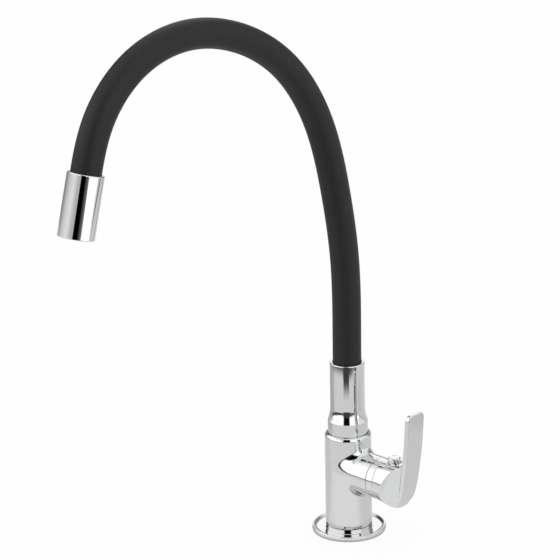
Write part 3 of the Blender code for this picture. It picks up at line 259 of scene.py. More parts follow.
def turnedMetalFinish(name, colour, worn, roughness, lines):
    # Machined metal: fine turning marks and a little tarnish.
    finish = Finish(name)
    tarnish = finish.noise(*turnedLook["tarnish"])
    fine = finish.noise(lines, turnedLook["lineDetail"])
    share = turnedLook["tarnishShare"]
    return finish.surface(
        Base_Color=finish.blend(tarnish, colour, worn),
        Metallic=1.0,
        Roughness=finish.spread(tarnish * share + fine * (1 - share), *roughness),
        Normal=finish.bump(fine, *turnedLook["lineBump"]),
    )


mouldedLook = {"mottle": (160, 4), "grain": (2200, 2), "grainStrength": 0.3}


def mouldedFinish(name, colour, second, roughness, depth):
    # Rubber, plastic or fired ceramic: mottled colour and a fine moulded grain.
    finish = Finish(name)
    mottle = finish.noise(*mouldedLook["mottle"])
    grain = finish.noise(*mouldedLook["grain"])
    return finish.surface(
        Base_Color=finish.blend(mottle, colour, second),
        Roughness=finish.spread(mottle, *roughness),
        Normal=finish.bump(grain, mouldedLook["grainStrength"], depth),
    )


finishes = {
    "chrome": chromeFinish(),
    "silicone": siliconeFinish(),
    "brass": turnedMetalFinish("machinedBrass", (0.74, 0.57, 0.28), (0.62, 0.45, 0.20), (0.24, 0.38), 900),
    "steel": turnedMetalFinish("stainlessSteel", (0.60, 0.60, 0.59), (0.50, 0.50, 0.49), (0.26, 0.40), 1100),
    "rubber": mouldedFinish("blackRubber", (0.018, 0.018, 0.019), (0.030, 0.030, 0.030), (0.6, 0.8), 0.00004),
    "plastic": mouldedFinish("whitePlastic", (0.78, 0.78, 0.75), (0.72, 0.72, 0.69), (0.35, 0.5), 0.00001),
    "ceramic": mouldedFinish("lappedCeramic", (0.88, 0.87, 0.84), (0.82, 0.81, 0.78), (0.12, 0.2), 0.000002),
}
print("stage: finishes made:", len(finishes))


# Mesh helpers

def finishPiece(name, mesh, slot, body, nodes, blend=None):
    # Gives the mesh its finish, and its body unless a blend is passed, when its placement is baked in
    # instead; hides the plain solids that it stands for.
    piece = bpy.data.objects.new(name, mesh)
    bpy.context.scene.collection.objects.link(piece)
    mesh.materials.append(finishes[slot])
    if blend:
        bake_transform(piece)
    else:
        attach(piece, body)
    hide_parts(*nodes)


def meshOf(name, points, faces, normals=None):
    # Points in millimetres. The faces are turned outwards if their volume comes out negative.
    points = np.asarray(points, float)
    volume = sum(np.dot(points[f[0]], np.cross(points[f[1]], points[f[2]])) for f in faces)
    if volume < 0:
        faces = [face[::-1] for face in faces]
    mesh = bpy.data.meshes.new(name)
    mesh.from_pydata((points * mm).tolist(), [], faces)
    mesh.shade_smooth()
    if normals is not None:
        mesh.normals_split_custom_set_from_vertices(np.asarray(normals).tolist())
    return mesh


turning = {
    "sides": 144,
    "sidesWide": 192,
    "sidesSmall": 96,
    "steps": 6,  # round a corner
    "edge": 0.15,  # rounding of a corner that gives none
    "straight": 89.5,  # a corner whose half angle is above this is left out
    "mostOfSide": 0.49,  # share of a side that one rounding may take
}


def roundedProfile(corners, steps):
    # Corners are (radius, height, rounding); returns points and outward normals round the outline.
    points = []
    normals = []
    count = len(corners)
    for index in range(count):
        here = np.array(corners[index][:2], float)
        before = np.array(corners[index - 1][:2], float) - here
        after = np.array(corners[(index + 1) % count][:2], float) - here
        lengths = np.linalg.norm(before), np.linalg.norm(after)
        before, after = before / lengths[0], after / lengths[1]
        half = math.acos(float(np.clip(before @ after, -1, 1))) / 2
        if half > math.radians(turning["straight"]):
            side = after - before
            points.append(here)
            normals.append(np.array((-side[1], side[0])) / np.linalg.norm(side))
            continue
        rounding = corners[index][2] if len(corners[index]) > 2 else turning["edge"]
        rounding = min(rounding, turning["mostOfSide"] * math.tan(half) * min(lengths))
        middle = before + after
        centre = here + middle / np.linalg.norm(middle) * rounding / math.sin(half)
        first = here + before * rounding / math.tan(half) - centre
        last = here + after * rounding / math.tan(half) - centre
        sweep = math.atan2(first[0] * last[1] - first[1] * last[0], float(first @ last))
        start = math.atan2(first[1], first[0])
        inwards = 1 if before[0] * after[1] - before[1] * after[0] > 0 else -1
        for step in range(steps + 1):
            angle = start + sweep * step / steps
            spoke = np.array((math.cos(angle), math.sin(angle)))
            points.append(centre + rounding * spoke)
            normals.append(spoke * inwards)
    return np.array(points), np.array(normals)


def latheMesh(name, corners, pose=None, sides=turning["sides"], steps=turning["steps"]):
    # Turns a closed outline, given top to bottom down its outer side, round its own Z.
    points, normals = roundedProfile(corners, steps)
    turn = np.linspace(0, 2 * math.pi, sides, endpoint=False)
    spokes = np.stack([np.cos(turn), np.sin(turn)], -1)
    rings = np.empty((len(points), sides, 3))
    rings[..., :2] = points[:, None, :1] * spokes
    rings[..., 2] = points[:, 1:]
    facing = np.empty_like(rings)
    facing[..., :2] = normals[:, None, :1] * spokes
    facing[..., 2] = normals[:, 1:]
    return wrapMesh(name, rings, facing, pose)


def wrapMesh(name, rings, facing=None, pose=None):
    # Rows of points that close round the sides, and from the last row to the first.
    rows, sides = rings.shape[:2]
    here = np.arange(rows * sides).reshape(rows, sides)
    after = np.roll(here, -1, 0)
    quads = np.stack([here, after, np.roll(after, -1, 1), np.roll(here, -1, 1)], -1).reshape(-1, 4)
    points = rings.reshape(-1, 3)
    normals = None if facing is None else facing.reshape(-1, 3)
    if pose is not None:
        turn = np.array(pose.to_3x3())
        points = points @ turn.T + np.array(pose.translation)
        normals = None if normals is None else normals @ turn.T
    return meshOf(name, points, quads.tolist(), normals)


def roundUnion(first, second, rounding):
    # Two fields joined with a fillet.
    corner = np.hypot(np.maximum(rounding - first, 0), np.maximum(rounding - second, 0))
    return np.maximum(rounding, np.minimum(first, second)) - corner


def roundCut(first, second, rounding):
    # The part that both fields hold, with the edge between them rounded.
    corner = np.hypot(np.maximum(rounding + first, 0), np.maximum(rounding + second, 0))
    return np.minimum(-rounding, np.maximum(first, second)) + corner


def rodField(across, along, radius, low, high, rounding):
    # A round bar: across is the distance from its axis, along the place on it.
    ends = np.maximum(low - along, along - high)
    return roundCut(across - radius, ends, rounding)


def netMesh(name, field, low, high, step, passes=5):
    # A mesh on the surface where the field is zero, with one point in each cell that it crosses.
    axes = [np.arange(start, end + step, step) for start, end in zip(low, high)]
    grid = np.stack(np.meshgrid(*axes, indexing="ij"), -1)
    inside = field(grid.reshape(-1, 3)).reshape(grid.shape[:3]) < 0
    cells = [len(axis) - 1 for axis in axes]
    count = np.zeros(cells, int)
    for i, j, k in np.ndindex(2, 2, 2):
        count += inside[i : i + cells[0], j : j + cells[1], k : k + cells[2]]
    crossed = (count > 0) & (count < 8)
    index = np.full(crossed.shape, -1)
    index[crossed] = np.arange(crossed.sum())
    points = grid[:-1, :-1, :-1][crossed] + step / 2
    faces = []
    for axis in range(3):
        near = np.moveaxis(inside, axis, 0)
        around = np.moveaxis(index, axis, 0)
        flips = near[:-1, 1:-1, 1:-1] != near[1:, 1:-1, 1:-1]
        spot = np.nonzero(flips)
        i, j, k = spot[0], spot[1] + 1, spot[2] + 1
        quad = np.stack([around[i, j + a, k + b] for a, b in ((-1, -1), (0, -1), (0, 0), (-1, 0))], -1)
        turned = near[i, j, k] != (axis == 1)
        quad[~turned] = quad[~turned][:, ::-1]
        faces.append(quad)
    for _ in range(passes):
        value, slope = fieldSlope(field, points)
        size = np.linalg.norm(slope, axis=1)
        points = points - slope * np.clip(value / size**2, -step / size, step / size)[:, None]
    normals = fieldSlope(field, points)[1]
    normals /= np.linalg.norm(normals, axis=1)[:, None]
    return meshOf(name, points, np.concatenate(faces).tolist(), normals)


def fieldSlope(field, points, reach=0.02):
    # The field's values at the points, and how they change from there.
    slope = np.empty_like(points)
    for axis in range(3):
        shift = np.zeros(3)
        shift[axis] = reach
        slope[:, axis] = (field(points + shift) - field(points - shift)) / (2 * reach)
    return field(points), slope


def splineThrough(knots, startHeading, endHeading, steps):
    # A clamped cubic through the knots; returns dense points and their lengths along it.
    knots = np.array(knots, float)
    spans = np.hypot(*np.diff(knots, axis=0).T)
    count = len(knots)
    system = np.eye(count)
    target = np.zeros((count, 2))
    target[0] = startHeading
    target[-1] = endHeading
    for i in range(1, count - 1):
        before, after = spans[i - 1], spans[i]
        system[i, i - 1 : i + 2] = (after, 2 * (before + after), before)
        rises = (knots[i] - knots[i - 1]) / before, (knots[i + 1] - knots[i]) / after
        target[i] = 3 * (after * rises[0] + before * rises[1])
    slopes = np.linalg.solve(system, target)
    points = [knots[:1]]
    t = np.linspace(0, 1, steps + 1)[1:, None]
    for i in range(count - 1):
        points.append(
            (2 * t**3 - 3 * t**2 + 1) * knots[i]
            + (t**3 - 2 * t**2 + t) * spans[i] * slopes[i]
            + (3 * t**2 - 2 * t**3) * knots[i + 1]
            + (t**3 - t**2) * spans[i] * slopes[i + 1]
        )
    points = np.concatenate(points)
    return points, np.concatenate([[0], np.cumsum(np.hypot(*np.diff(points, axis=0).T))])


# Sizes that several pieces share

gap = 0.3  # between pieces that rest on one another
past = 9.0  # how far a hollow runs beyond the face that it opens
margin = 1.0  # round a piece, for the cells of its net

body = {
    "radius": 16.4,
    "foot": 5.3,
    "top": 74.3,
    "topEdge": 3.2,
    "lip": 1.9,
    "lipDepth": 2.8,
    "bore": 9.0,
    "boreDepth": 12.3,
    "branchHeight": 46.7,
    "branchRadius": 14.75,
    "branchEnd": 29.7,
    "fillet": 4.5,
    "chamber": 10.5,
    "seat": 4.0,
    "socket": 10.7,
    "socketTop": 17.3,
    "edge": 0.2,
    "footEdge": 0.15,
    "lipEdge": 0.45,
    "lipFloorEdge": 0.3,
    "mouthEdge": 0.3,
    "cell": 0.5,
}


def bodyField(p):
    around = np.hypot(p[:, 0], p[:, 1])
    up = p[:, 2]
    acrossBranch = np.hypot(p[:, 1], up - body["branchHeight"])
    shell = roundCut(around - body["radius"], up - body["top"], body["topEdge"])
    shell = roundCut(shell, body["foot"] - up, body["footEdge"])
    branch = rodField(acrossBranch, p[:, 0], body["branchRadius"], 0, body["branchEnd"], body["edge"])
    solid = roundUnion(shell, branch, body["fillet"])
    lipFloor = body["top"] - body["lipDepth"]
    lipBore = body["radius"] - body["lip"]
    boreFloor = lipFloor - body["boreDepth"]
    lip = rodField(around, up, lipBore, lipFloor, body["top"] + past, body["lipFloorEdge"])
    bore = rodField(around, up, body["bore"], boreFloor, body["top"], body["edge"])
    chamberEnd = body["branchEnd"] + past
    chamber = rodField(acrossBranch, p[:, 0], body["chamber"], body["seat"], chamberEnd, body["edge"])
    socket = rodField(around, up, body["socket"], 0, body["socketTop"], body["edge"])
    for hollow, edge in ((lip, "lipEdge"), (bore, "edge"), (chamber, "mouthEdge"), (socket, "mouthEdge")):
        solid = roundCut(solid, -hollow, body[edge])
    return solid


def addBody():
    side = body["radius"] + margin
    low = (-side, -side, body["foot"] - margin)
    high = (body["branchEnd"] + margin, side, body["top"] + margin)
    mesh = netMesh("bodyCasting", bodyField, low, high, body["cell"])
    finishPiece("bodyCasting", mesh, "chrome", "base", ["body_casting"])


addBody()
print("stage: body made")


# Lever handle

lever = {
    "start": 36.2,
    "rootRadius": 15.0,
    "flare": 0.125,  # radius gained per length
    "width": 16.0,
    "top": 102.8,
    "foot": 32.6,
    "tipReach": 65.2,
    "footReach": 52.5,
    "faceShares": ((0.20, 0.057), (0.43, 0.18), (0.64, 0.389), (0.82, 0.606)),
    "tipBack": 61.5,
    "footBack": 52.6,
    "backShares": ((0.27, 0.143), (0.46, 0.315), (0.62, 0.473), (0.84, 0.716)),
    "tipCorner": 4.2,
    "footCorner": 5.0,
    "edge": 0.9,
    "footEdge": 3.6,
    "footEdgeShare": 0.4,  # of the blade's height, over which its edge widens to footEdge
    "scoopRadius": 10.6,
    "scoopTaper": 0.25,
    "scoopWaist": 7.6,
    "scoopSpare": 0.2,
    "scoopEdge": 0.35,
    "scoopEnd": 55.0,
    "scoopLean": 0.155,
    "crease": 0.3,
    "neck": 4.0,
    "recess": 10.0,
    "recessDepth": 3.0,
    "socket": 4.3,
    "socketEnd": 49.5,
    "screwReach": 44.0,
    "screwHole": 2.8,
    "plugSeat": 4.8,
    "plugSeatDepth": 1.2,
    "rootEdge": 0.2,
    "seatEdge": 0.15,
    "recessEdge": 0.3,
    "holeEdge": 0.2,
    "cell": 0.4,
    "curveSteps": 40,
}

hubTop = body["branchHeight"] + lever["rootRadius"] + lever["flare"] * (lever["screwReach"] - lever["start"])


def bladeCurve(low, high, shares):
    # One face of the blade: its reach for each height.
    climb = lever["top"] - lever["foot"]
    knots = [(low, lever["foot"])]
    knots += [(low + (high - low) * out, lever["foot"] + climb * up) for out, up in shares]
    knots.append((high, lever["top"]))
    first = np.subtract(knots[1], knots[0])
    last = np.subtract(knots[-1], knots[-2])
    first, last = first / np.linalg.norm(first), last / np.linalg.norm(last)
    return splineThrough(knots, first, last, lever["curveSteps"])[0]


facePoints = bladeCurve(lever["footReach"], lever["tipReach"], lever["faceShares"])
backPoints = bladeCurve(lever["footBack"], lever["tipBack"], lever["backShares"])


def scoopField(x, y, up):
    # Hollows on both sides: round against the blade's side, and open beyond it.
    radius = lever["scoopRadius"] - lever["scoopTaper"] * up
    ahead = x - lever["scoopEnd"] - lever["scoopLean"] * up
    aside = np.minimum(np.abs(y) - lever["scoopWaist"] - radius, 0)
    beyond = np.maximum(-ahead, lever["scoopWaist"] + lever["scoopSpare"] - np.abs(y))
    return np.minimum(np.hypot(ahead, aside) - radius, beyond)


def bladeOutline(y, z):
    # Front view of the blade: a strip with round corners.
    middle = (lever["top"] + lever["foot"]) / 2
    corner = np.where(z > middle, lever["tipCorner"], lever["footCorner"])
    sideways = np.abs(y) - lever["width"] / 2 + corner
    upwards = np.abs(z - middle) - (lever["top"] - lever["foot"]) / 2 + corner
    outside = np.hypot(np.maximum(sideways, 0), np.maximum(upwards, 0)) - corner
    return outside + np.minimum(np.maximum(sideways, upwards), 0)


def leverField(p):
    x, y, z = p.T
    up = z - body["branchHeight"]
    hub = np.hypot(y, up) - lever["rootRadius"] - lever["flare"] * (x - lever["start"])
    hub = roundCut(hub, lever["start"] - x, lever["rootEdge"])
    reach = np.interp(z, facePoints[:, 1], facePoints[:, 0])
    back = np.interp(z, backPoints[:, 1], backPoints[:, 0])
    slope = np.interp(z, facePoints[1:, 1], np.diff(facePoints[:, 0]) / np.diff(facePoints[:, 1]))
    lean = np.sqrt(1 + slope**2)
    climb = lever["footEdgeShare"] * (lever["top"] - lever["foot"])
    low = np.clip(1 - (z - lever["foot"]) / climb, 0, 1)
    edge = lever["edge"] + (lever["footEdge"] - lever["edge"]) * low**2
    blade = roundCut(bladeOutline(y, z), (back - x) / lean, lever["edge"])
    handle = roundCut(roundUnion(hub, blade, lever["neck"]), -scoopField(x, y, up), lever["scoopEdge"])
    handle = roundCut(roundUnion(handle, blade, lever["crease"]), (x - reach) / lean, edge)
    fromScrew = np.hypot(x - lever["screwReach"], y)
    fromAxis = np.hypot(y, up)
    seatFloor = hubTop - lever["plugSeatDepth"]
    recessEnd = lever["start"] + lever["recessDepth"]
    hollows = (
        rodField(fromScrew, z, lever["plugSeat"], seatFloor, hubTop + past, lever["seatEdge"]),
        rodField(fromScrew, z, lever["screwHole"], body["branchHeight"], hubTop, lever["holeEdge"]),
        rodField(fromAxis, x, lever["recess"], 0, recessEnd, lever["recessEdge"]),
        rodField(fromAxis, x, lever["socket"], 0, lever["socketEnd"], lever["holeEdge"]),
    )
    for hollow in hollows:
        handle = roundCut(handle, -hollow, lever["holeEdge"])
    return handle


def addLever():
    widest = lever["rootRadius"] + lever["flare"] * (lever["tipReach"] - lever["start"])
    low = (lever["start"] - margin, -widest, body["branchHeight"] - widest)
    high = (lever["tipReach"] + margin, widest, lever["top"] + margin)
    mesh = netMesh("leverHandle", leverField, low, high, lever["cell"])
    finishPiece("leverHandle", mesh, "chrome", "lever", ["lever_handle"])


addLever()
print("stage: lever made")


# Turned pieces; each outline runs down its outer side and back up its bore

alongBranch = Matrix.Translation((0, 0, body["branchHeight"])) @ Matrix.Rotation(math.pi / 2, 4, "Y")

flange = {
    "radius": 26.2,
    "rimTop": 3.7,
    "rimWidth": 0.9,
    "rimEdge": 0.3,
    "roll": 0.8,
    "lean": 0.4,
    "widest": 1.6,
    "dishFloor": 1.9,
    "dishEnd": 22.6,
    "dishRise": 0.5,
    "cove": 6.0,
    "upstand": 5.0,
    "bore": 11.0,
    "recess": 1.2,
    "recessRadius": 24.1,
    "recessEdge": 0.1,
    "coveEdge": 0.4,
}


def addFlange():
    outer = flange["radius"] - flange["lean"]
    inner = outer - flange["rimWidth"]
    corners = [
        (body["radius"], flange["upstand"]),
        (body["radius"], flange["dishFloor"], flange["coveEdge"]),
        (flange["dishEnd"], flange["dishFloor"] + flange["dishRise"], flange["cove"]),
        (inner, flange["rimTop"], flange["rimEdge"]),
        (outer, flange["rimTop"], flange["roll"]),
        (flange["radius"], flange["widest"], flange["roll"]),
        (outer, 0),
        (flange["recessRadius"], 0, flange["recessEdge"]),
        (flange["recessRadius"], flange["recess"], flange["recessEdge"]),
        (flange["bore"], flange["recess"], flange["recessEdge"]),
        (flange["bore"], flange["upstand"]),
    ]
    mesh = latheMesh("baseFlange", corners, sides=turning["sidesWide"])
    finishPiece("baseFlange", mesh, "chrome", "base", ["base_flange"])


trim = {"start": 30.0, "end": 35.9, "wall": 1.8, "web": 33.6, "bore": 7.5, "edge": 0.25}


def addTrim():
    outer = body["branchRadius"]
    corners = [
        (outer, trim["end"], trim["edge"]),
        (outer, trim["start"], trim["edge"]),
        (outer - trim["wall"], trim["start"]),
        (outer - trim["wall"], trim["web"]),
        (trim["bore"], trim["web"]),
        (trim["bore"], trim["end"]),
    ]
    mesh = latheMesh("trimRing", corners, alongBranch)
    finishPiece("trimRing", mesh, "chrome", "base", ["trim_ring"])


collar = {
    "socket": 10.3,
    "tube": 12.15,
    "top": 125.8,
    "lip": 0.7,
    "flareTop": 93.2,
    "shoulder": 13.95,
    "band": 14.1,
    "bandTop": 83.0,
    "foot": 72.9,
    "spigotBore": 8.9,
    "spigotTop": 86.3,
    "waterway": 5.8,
    "socketFloor": 95.0,
    "mouthEdge": 0.2,
    "seam": 0.12,
    "footEdge": 0.4,
    "flareBlend": 2.0,
    "flareCorners": 13,
}


def addCollar():
    # The flare sweeps in from the shoulder and runs tangent into the tube.
    corners = [
        (collar["socket"], collar["top"], collar["mouthEdge"]),
        (collar["tube"], collar["top"], collar["lip"]),
    ]
    drop = collar["flareTop"] - collar["bandTop"]
    width = collar["shoulder"] - collar["tube"]
    for share in np.linspace(0, 1, collar["flareCorners"]):
        radius = collar["tube"] + width * share**2
        corners.append((radius, collar["flareTop"] - drop * share, collar["flareBlend"]))
    corners[-1] = (collar["shoulder"], collar["bandTop"], collar["seam"])
    corners += [
        (collar["band"], collar["bandTop"], collar["seam"]),
        (collar["band"], collar["foot"], collar["footEdge"]),
        (collar["spigotBore"], collar["foot"]),
        (collar["spigotBore"], collar["spigotTop"]),
        (collar["waterway"], collar["spigotTop"]),
        (collar["waterway"], collar["socketFloor"]),
        (collar["socket"], collar["socketFloor"]),
    ]
    mesh = latheMesh("spoutCollar", corners)
    finishPiece("spoutCollar", mesh, "chrome", "spout_foot", ["spout_collar"])


plug = {
    "radius": 4.5,
    "top": 66.1,
    "dome": 0.35,
    "crown": 6.0,
    "edge": 1.8,
    "stem": 2.2,
    "stemLength": 1.6,
    "rootEdge": 0.1,
    "stemEdge": 0.2,
    "core": 0.05,  # a pinhole on the axis, where the outline closes
    "coreEdge": 0.01,
}


def addPlug():
    # A low dome that closes the set screw's hole, standing proud of the hub.
    seat = hubTop - lever["plugSeatDepth"] + gap
    corners = [
        (plug["core"], plug["top"], plug["coreEdge"]),
        (plug["radius"] / 2, plug["top"] - plug["dome"] / 4, plug["crown"]),
        (plug["radius"], plug["top"] - plug["dome"], plug["edge"]),
        (plug["radius"], seat),
        (plug["stem"], seat, plug["rootEdge"]),
        (plug["stem"], seat - plug["stemLength"], plug["stemEdge"]),
        (plug["core"], seat - plug["stemLength"], plug["coreEdge"]),
    ]
    pose = Matrix.Translation((lever["screwReach"], 0, 0))
    mesh = latheMesh("screwPlug", corners, pose, turning["sidesSmall"])
    finishPiece("screwPlug", mesh, "chrome", "lever", ["set_screw_plug"])


# Node, finish, outer and inner radius, underside, top and edge
washers = {
    "rubberWasher": ("deck_rubber_washer", "rubber", 22.0, 10.7, -33.0, -30.0, 0.5),
    "steelWasher": ("deck_steel_washer", "steel", 22.0, 10.7, -34.9, -33.3, 0.3),
    "flangeGasket": ("flange_gasket", "rubber", 23.8, 11.0, 0.0, 0.9, 0.2),
}


def addWashers():
    for name, (node, slot, outer, inner, low, high, edge) in washers.items():
        corners = [(outer, high, edge), (outer, low, edge), (inner, low, edge), (inner, high, edge)]
        mesh = latheMesh(name, corners, sides=turning["sidesSmall"])
        finishPiece(name, mesh, slot, "base", [node])


shank = {
    "radius": 10.4,
    "bore": 7.0,
    "top": 16.3,
    "foot": -49.5,
    "pitch": 1.81,
    "depth": 0.55,
    "sides": 96,
    "rowStep": 0.15,
    "sharp": 50.0,
}


def addShank():
    # A threaded tube: the ridge follows a helix and fades out at both ends.
    heights = np.arange(shank["top"], shank["foot"], -shank["rowStep"])[:, None]
    turn = np.linspace(0, 2 * math.pi, shank["sides"], endpoint=False)
    phase = heights / shank["pitch"] - turn / (2 * math.pi)
    ridge = np.abs(2 * (phase - np.floor(phase)) - 1)
    fromEnd = np.minimum(shank["top"] - heights, heights - shank["foot"])
    fade = np.clip(fromEnd / shank["pitch"], 0, 1)
    radius = shank["radius"] - shank["depth"] * (ridge * fade + 1 - fade)
    across, deep = np.cos(turn), np.sin(turn)
    rows = [np.stack([radius * across, radius * deep, np.broadcast_to(heights, radius.shape)], -1)]
    for height in (heights[-1, 0], heights[0, 0]):
        spokes = np.stack([across, deep], -1) * shank["bore"]
        rows.append(np.concatenate([spokes, np.full((shank["sides"], 1), height)], -1)[None])
    mesh = wrapMesh("mountingShank", np.concatenate(rows))
    mesh.set_sharp_from_angle(angle=math.radians(shank["sharp"]))
    finishPiece("mountingShank", mesh, "brass", "base", ["mounting_shank"])


addFlange()
addTrim()
addCollar()
addPlug()
addWashers()
addShank()
print("stage: turned pieces made")


# Flexible spout

spout = {
    "foot": 125.8,  # where the centre line leaves the collar
    "reach": 232.7,
    "rise": 258.4,
    "tilt": 15.0,
    "routeShares": (
        (0.000, 0.000),
        (0.005, 0.287),
        (0.040, 0.483),
        (0.103, 0.676),
        (0.236, 0.854),
        (0.430, 0.965),
        (0.636, 1.000),
        (0.829, 0.951),
        (0.954, 0.835),
        (1.000, 0.724),
    ),
    "lowerFlexShare": 0.30,
    "upperFlexShare": 0.80,
    "flexLength": 60.0,
    "tail": -27.8,
    "headTail": 13.5,
    "sleeve": 10.0,
    "sleeveWall": 2.0,
    "core": 7.6,
    "coreWall": 1.2,
    "corePitch": 3.4,
    "coreGroove": 0.5,
    "grooveShare": 0.625,  # of the pitch, which the groove's two flanks take
    "tube": 6.0,
    "tubeWall": 1.8,
    "sides": 96,
    "innerSides": 32,
    "ringStep": 1.6,
    "ringsPerPitch": 6,
    "tubeStep": 4.0,
    "routeSteps": 130,  # between two knots of the route
    "headingReach": 0.5,  # to each side, where the route's heading is taken
}

tilt = math.radians(spout["tilt"])
routeKnots = [(out * spout["reach"], spout["foot"] + up * spout["rise"]) for out, up in spout["routeShares"]]
outletHeading = (math.sin(tilt), -math.cos(tilt))
routePoints, routeLengths = splineThrough(routeKnots, (0, 1), outletHeading, spout["routeSteps"])
freeLength = routeLengths[-1]


def alongHose(distance):
    # Points on the centre line, with straight tails down into the collar and on into the nozzle.
    distance = np.asarray(distance, float)
    out = np.interp(distance, routeLengths, routePoints[:, 0])
    up = np.interp(distance, routeLengths, routePoints[:, 1])
    beyond = np.maximum(distance - freeLength, 0)
    before = np.minimum(distance, 0)
    out = out + beyond * math.sin(tilt)
    up = up - beyond * math.cos(tilt) + before
    return np.stack([np.zeros_like(out), -out, up], -1)


def hoseMesh(name, start, end, radius, wall, sides, step, groove, pitch):
    # A tube along the route; a groove winds round it like the turns of a wound core.
    stations = np.linspace(start, end, math.ceil((end - start) / step) + 1)
    centres = alongHose(stations)
    ahead = alongHose(stations + spout["headingReach"]) - alongHose(stations - spout["headingReach"])
    ahead /= np.linalg.norm(ahead, axis=1)[:, None]
    across = np.array((1.0, 0.0, 0.0))
    over = np.cross(ahead, across)
    turn = np.linspace(0, 2 * math.pi, sides, endpoint=False)
    spokes = np.cos(turn)[None, :, None] * across + np.sin(turn)[None, :, None] * over[:, None]
    phase = stations[:, None] / pitch - turn / (2 * math.pi)
    flank = np.abs(2 * (phase - np.floor(phase)) - 1)
    dip = groove * np.clip((flank - 1) / spout["grooveShare"] + 1, 0, 1)
    outer = centres[:, None] + spokes * (radius - dip)[..., None]
    inner = centres[:, None] + spokes * (radius - wall)
    rings = np.concatenate([outer, inner[::-1]])
    facing = None if groove else np.concatenate([spokes, -spokes[::-1]])
    return wrapMesh(name, rings, facing)


def addHose():
    # The sleeve, the core and the tube, each in three lengths; the two that span the flexing stretches are
    # baked in place and joined to no body.
    half = spout["flexLength"] / 2
    lower = spout["lowerFlexShare"] * freeLength
    upper = spout["upperFlexShare"] * freeLength
    end = freeLength + spout["headTail"]
    marks = [spout["tail"], lower - half, lower + half, upper - half, upper + half, end]
    ends = [Vector(point) * mm for point in alongHose(marks)]
    stretches = (
        ("Lower", 0, 2, ("lower", "lower_bend"), ("spout_foot", "spout_arch"), (ends[1], ends[2])),
        ("Arch", 2, 3, ("arch",), "spout_arch", None),
        ("Outlet", 3, 5, ("upper_bend", "outlet"), ("spout_arch", "spout_head"), (ends[3], ends[4])),
    )
    pitch = spout["corePitch"]
    coreStep = pitch / spout["ringsPerPitch"]
    layers = (
        ("siliconeSleeve", "spout_sleeve", "silicone", "sleeve", spout["sides"], spout["ringStep"], 0.0),
        ("woundCore", "gooseneck_core", "steel", "core", spout["innerSides"], coreStep, spout["coreGroove"]),
        ("waterTube", "water_tube", "plastic", "tube", spout["innerSides"], spout["tubeStep"], 0.0),
    )
    for layer, node, slot, size, sides, step, groove in layers:
        radius, wall = spout[size], spout[size + "Wall"]
        for stretch, first, last, parts, bodies, flex in stretches:
            name = layer + stretch
            mesh = hoseMesh(name, marks[first], marks[last], radius, wall, sides, step, groove, pitch)
            finishPiece(name, mesh, slot, bodies, [f"{node}_{part}" for part in parts], flex)


addHose()
print("stage: hose made, free length", round(float(freeLength), 1), "mm")


# Nozzle, turned about its own axis, which leans with the end of the hose

nozzlePlace = alongHose(freeLength)
atNozzle = Matrix.Translation(Vector(nozzlePlace)) @ Matrix.Rotation(-tilt, 4, "X")

nozzle = {
    "radius": 12.0,
    "length": 41.0,
    "topEdge": 0.9,
    "footEdge": 0.5,
    "socket": 10.3,
    "cavity": 10.4,
    "webTop": -16.5,
    "webFoot": -19.1,
    "webBore": 5.5,
    "aerator": 10.1,
    "aeratorWall": 1.4,
    "aeratorLedge": 1.0,
    "aeratorTop": -21.3,
    "aeratorInset": 0.8,
    "aeratorEdge": 0.3,
    "regulator": 3.0,
    "boreEdge": 0.2,
    "aeratorSteps": 4,
}


def addNozzle():
    foot = -nozzle["length"]
    corners = [
        (nozzle["socket"], 0, nozzle["boreEdge"]),
        (nozzle["radius"], 0, nozzle["topEdge"]),
        (nozzle["radius"], foot, nozzle["footEdge"]),
        (nozzle["cavity"], foot, nozzle["boreEdge"]),
        (nozzle["cavity"], nozzle["webFoot"]),
        (nozzle["webBore"], nozzle["webFoot"]),
        (nozzle["webBore"], nozzle["webTop"]),
        (nozzle["socket"], nozzle["webTop"]),
    ]
    mesh = latheMesh("nozzleShell", corners, atNozzle)
    finishPiece("nozzleShell", mesh, "chrome", "spout_head", ["nozzle_shell"])
    ledge = foot + nozzle["aeratorInset"]
    bore = nozzle["aerator"] - nozzle["aeratorWall"]
    lip = bore - nozzle["aeratorLedge"]
    shelf = nozzle["aeratorTop"] - nozzle["regulator"] - gap
    corners = [
        (nozzle["aerator"], nozzle["aeratorTop"]),
        (nozzle["aerator"], ledge, nozzle["aeratorEdge"]),
        (lip, ledge, nozzle["aeratorEdge"]),
        (lip, ledge + nozzle["aeratorLedge"]),
        (bore, ledge + nozzle["aeratorLedge"]),
        (bore, shelf - nozzle["aeratorLedge"]),
        (lip, shelf - nozzle["aeratorLedge"]),
        (lip, shelf),
        (bore, shelf),
        (bore, nozzle["aeratorTop"]),
    ]
    mesh = latheMesh("aeratorHousing", corners, atNozzle, turning["sidesSmall"], nozzle["aeratorSteps"])
    finishPiece("aeratorHousing", mesh, "plastic", "spout_head", ["aerator_housing"])


addNozzle()
print("stage: nozzle made")


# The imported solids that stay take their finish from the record's slots

def dressKeptNodes():
    slots = {row["node"]: row["material_slot"] for row in frame["record"]["subparts"]}
    kept = 0
    for name, node in frame["nodes"].items():
        if node.hide_render:
            continue
        for row in node.material_slots:
            row.material = finishes[slots[name]]
        kept += 1
    return kept


print("stage: packed solids dressed:", dressKeptNodes())


# Stage: white floor and world for the camera, and light and dark patches that only gloss reflects

# A patch is its middle azimuth, counted from the photograph's side, half its width and its softness, then
# where it starts and ends, how softly it does both, and its brightness. Where is an elevation in the sky
# and a distance on the floor.
far = 9000.0  # the end of a patch that runs to the horizon

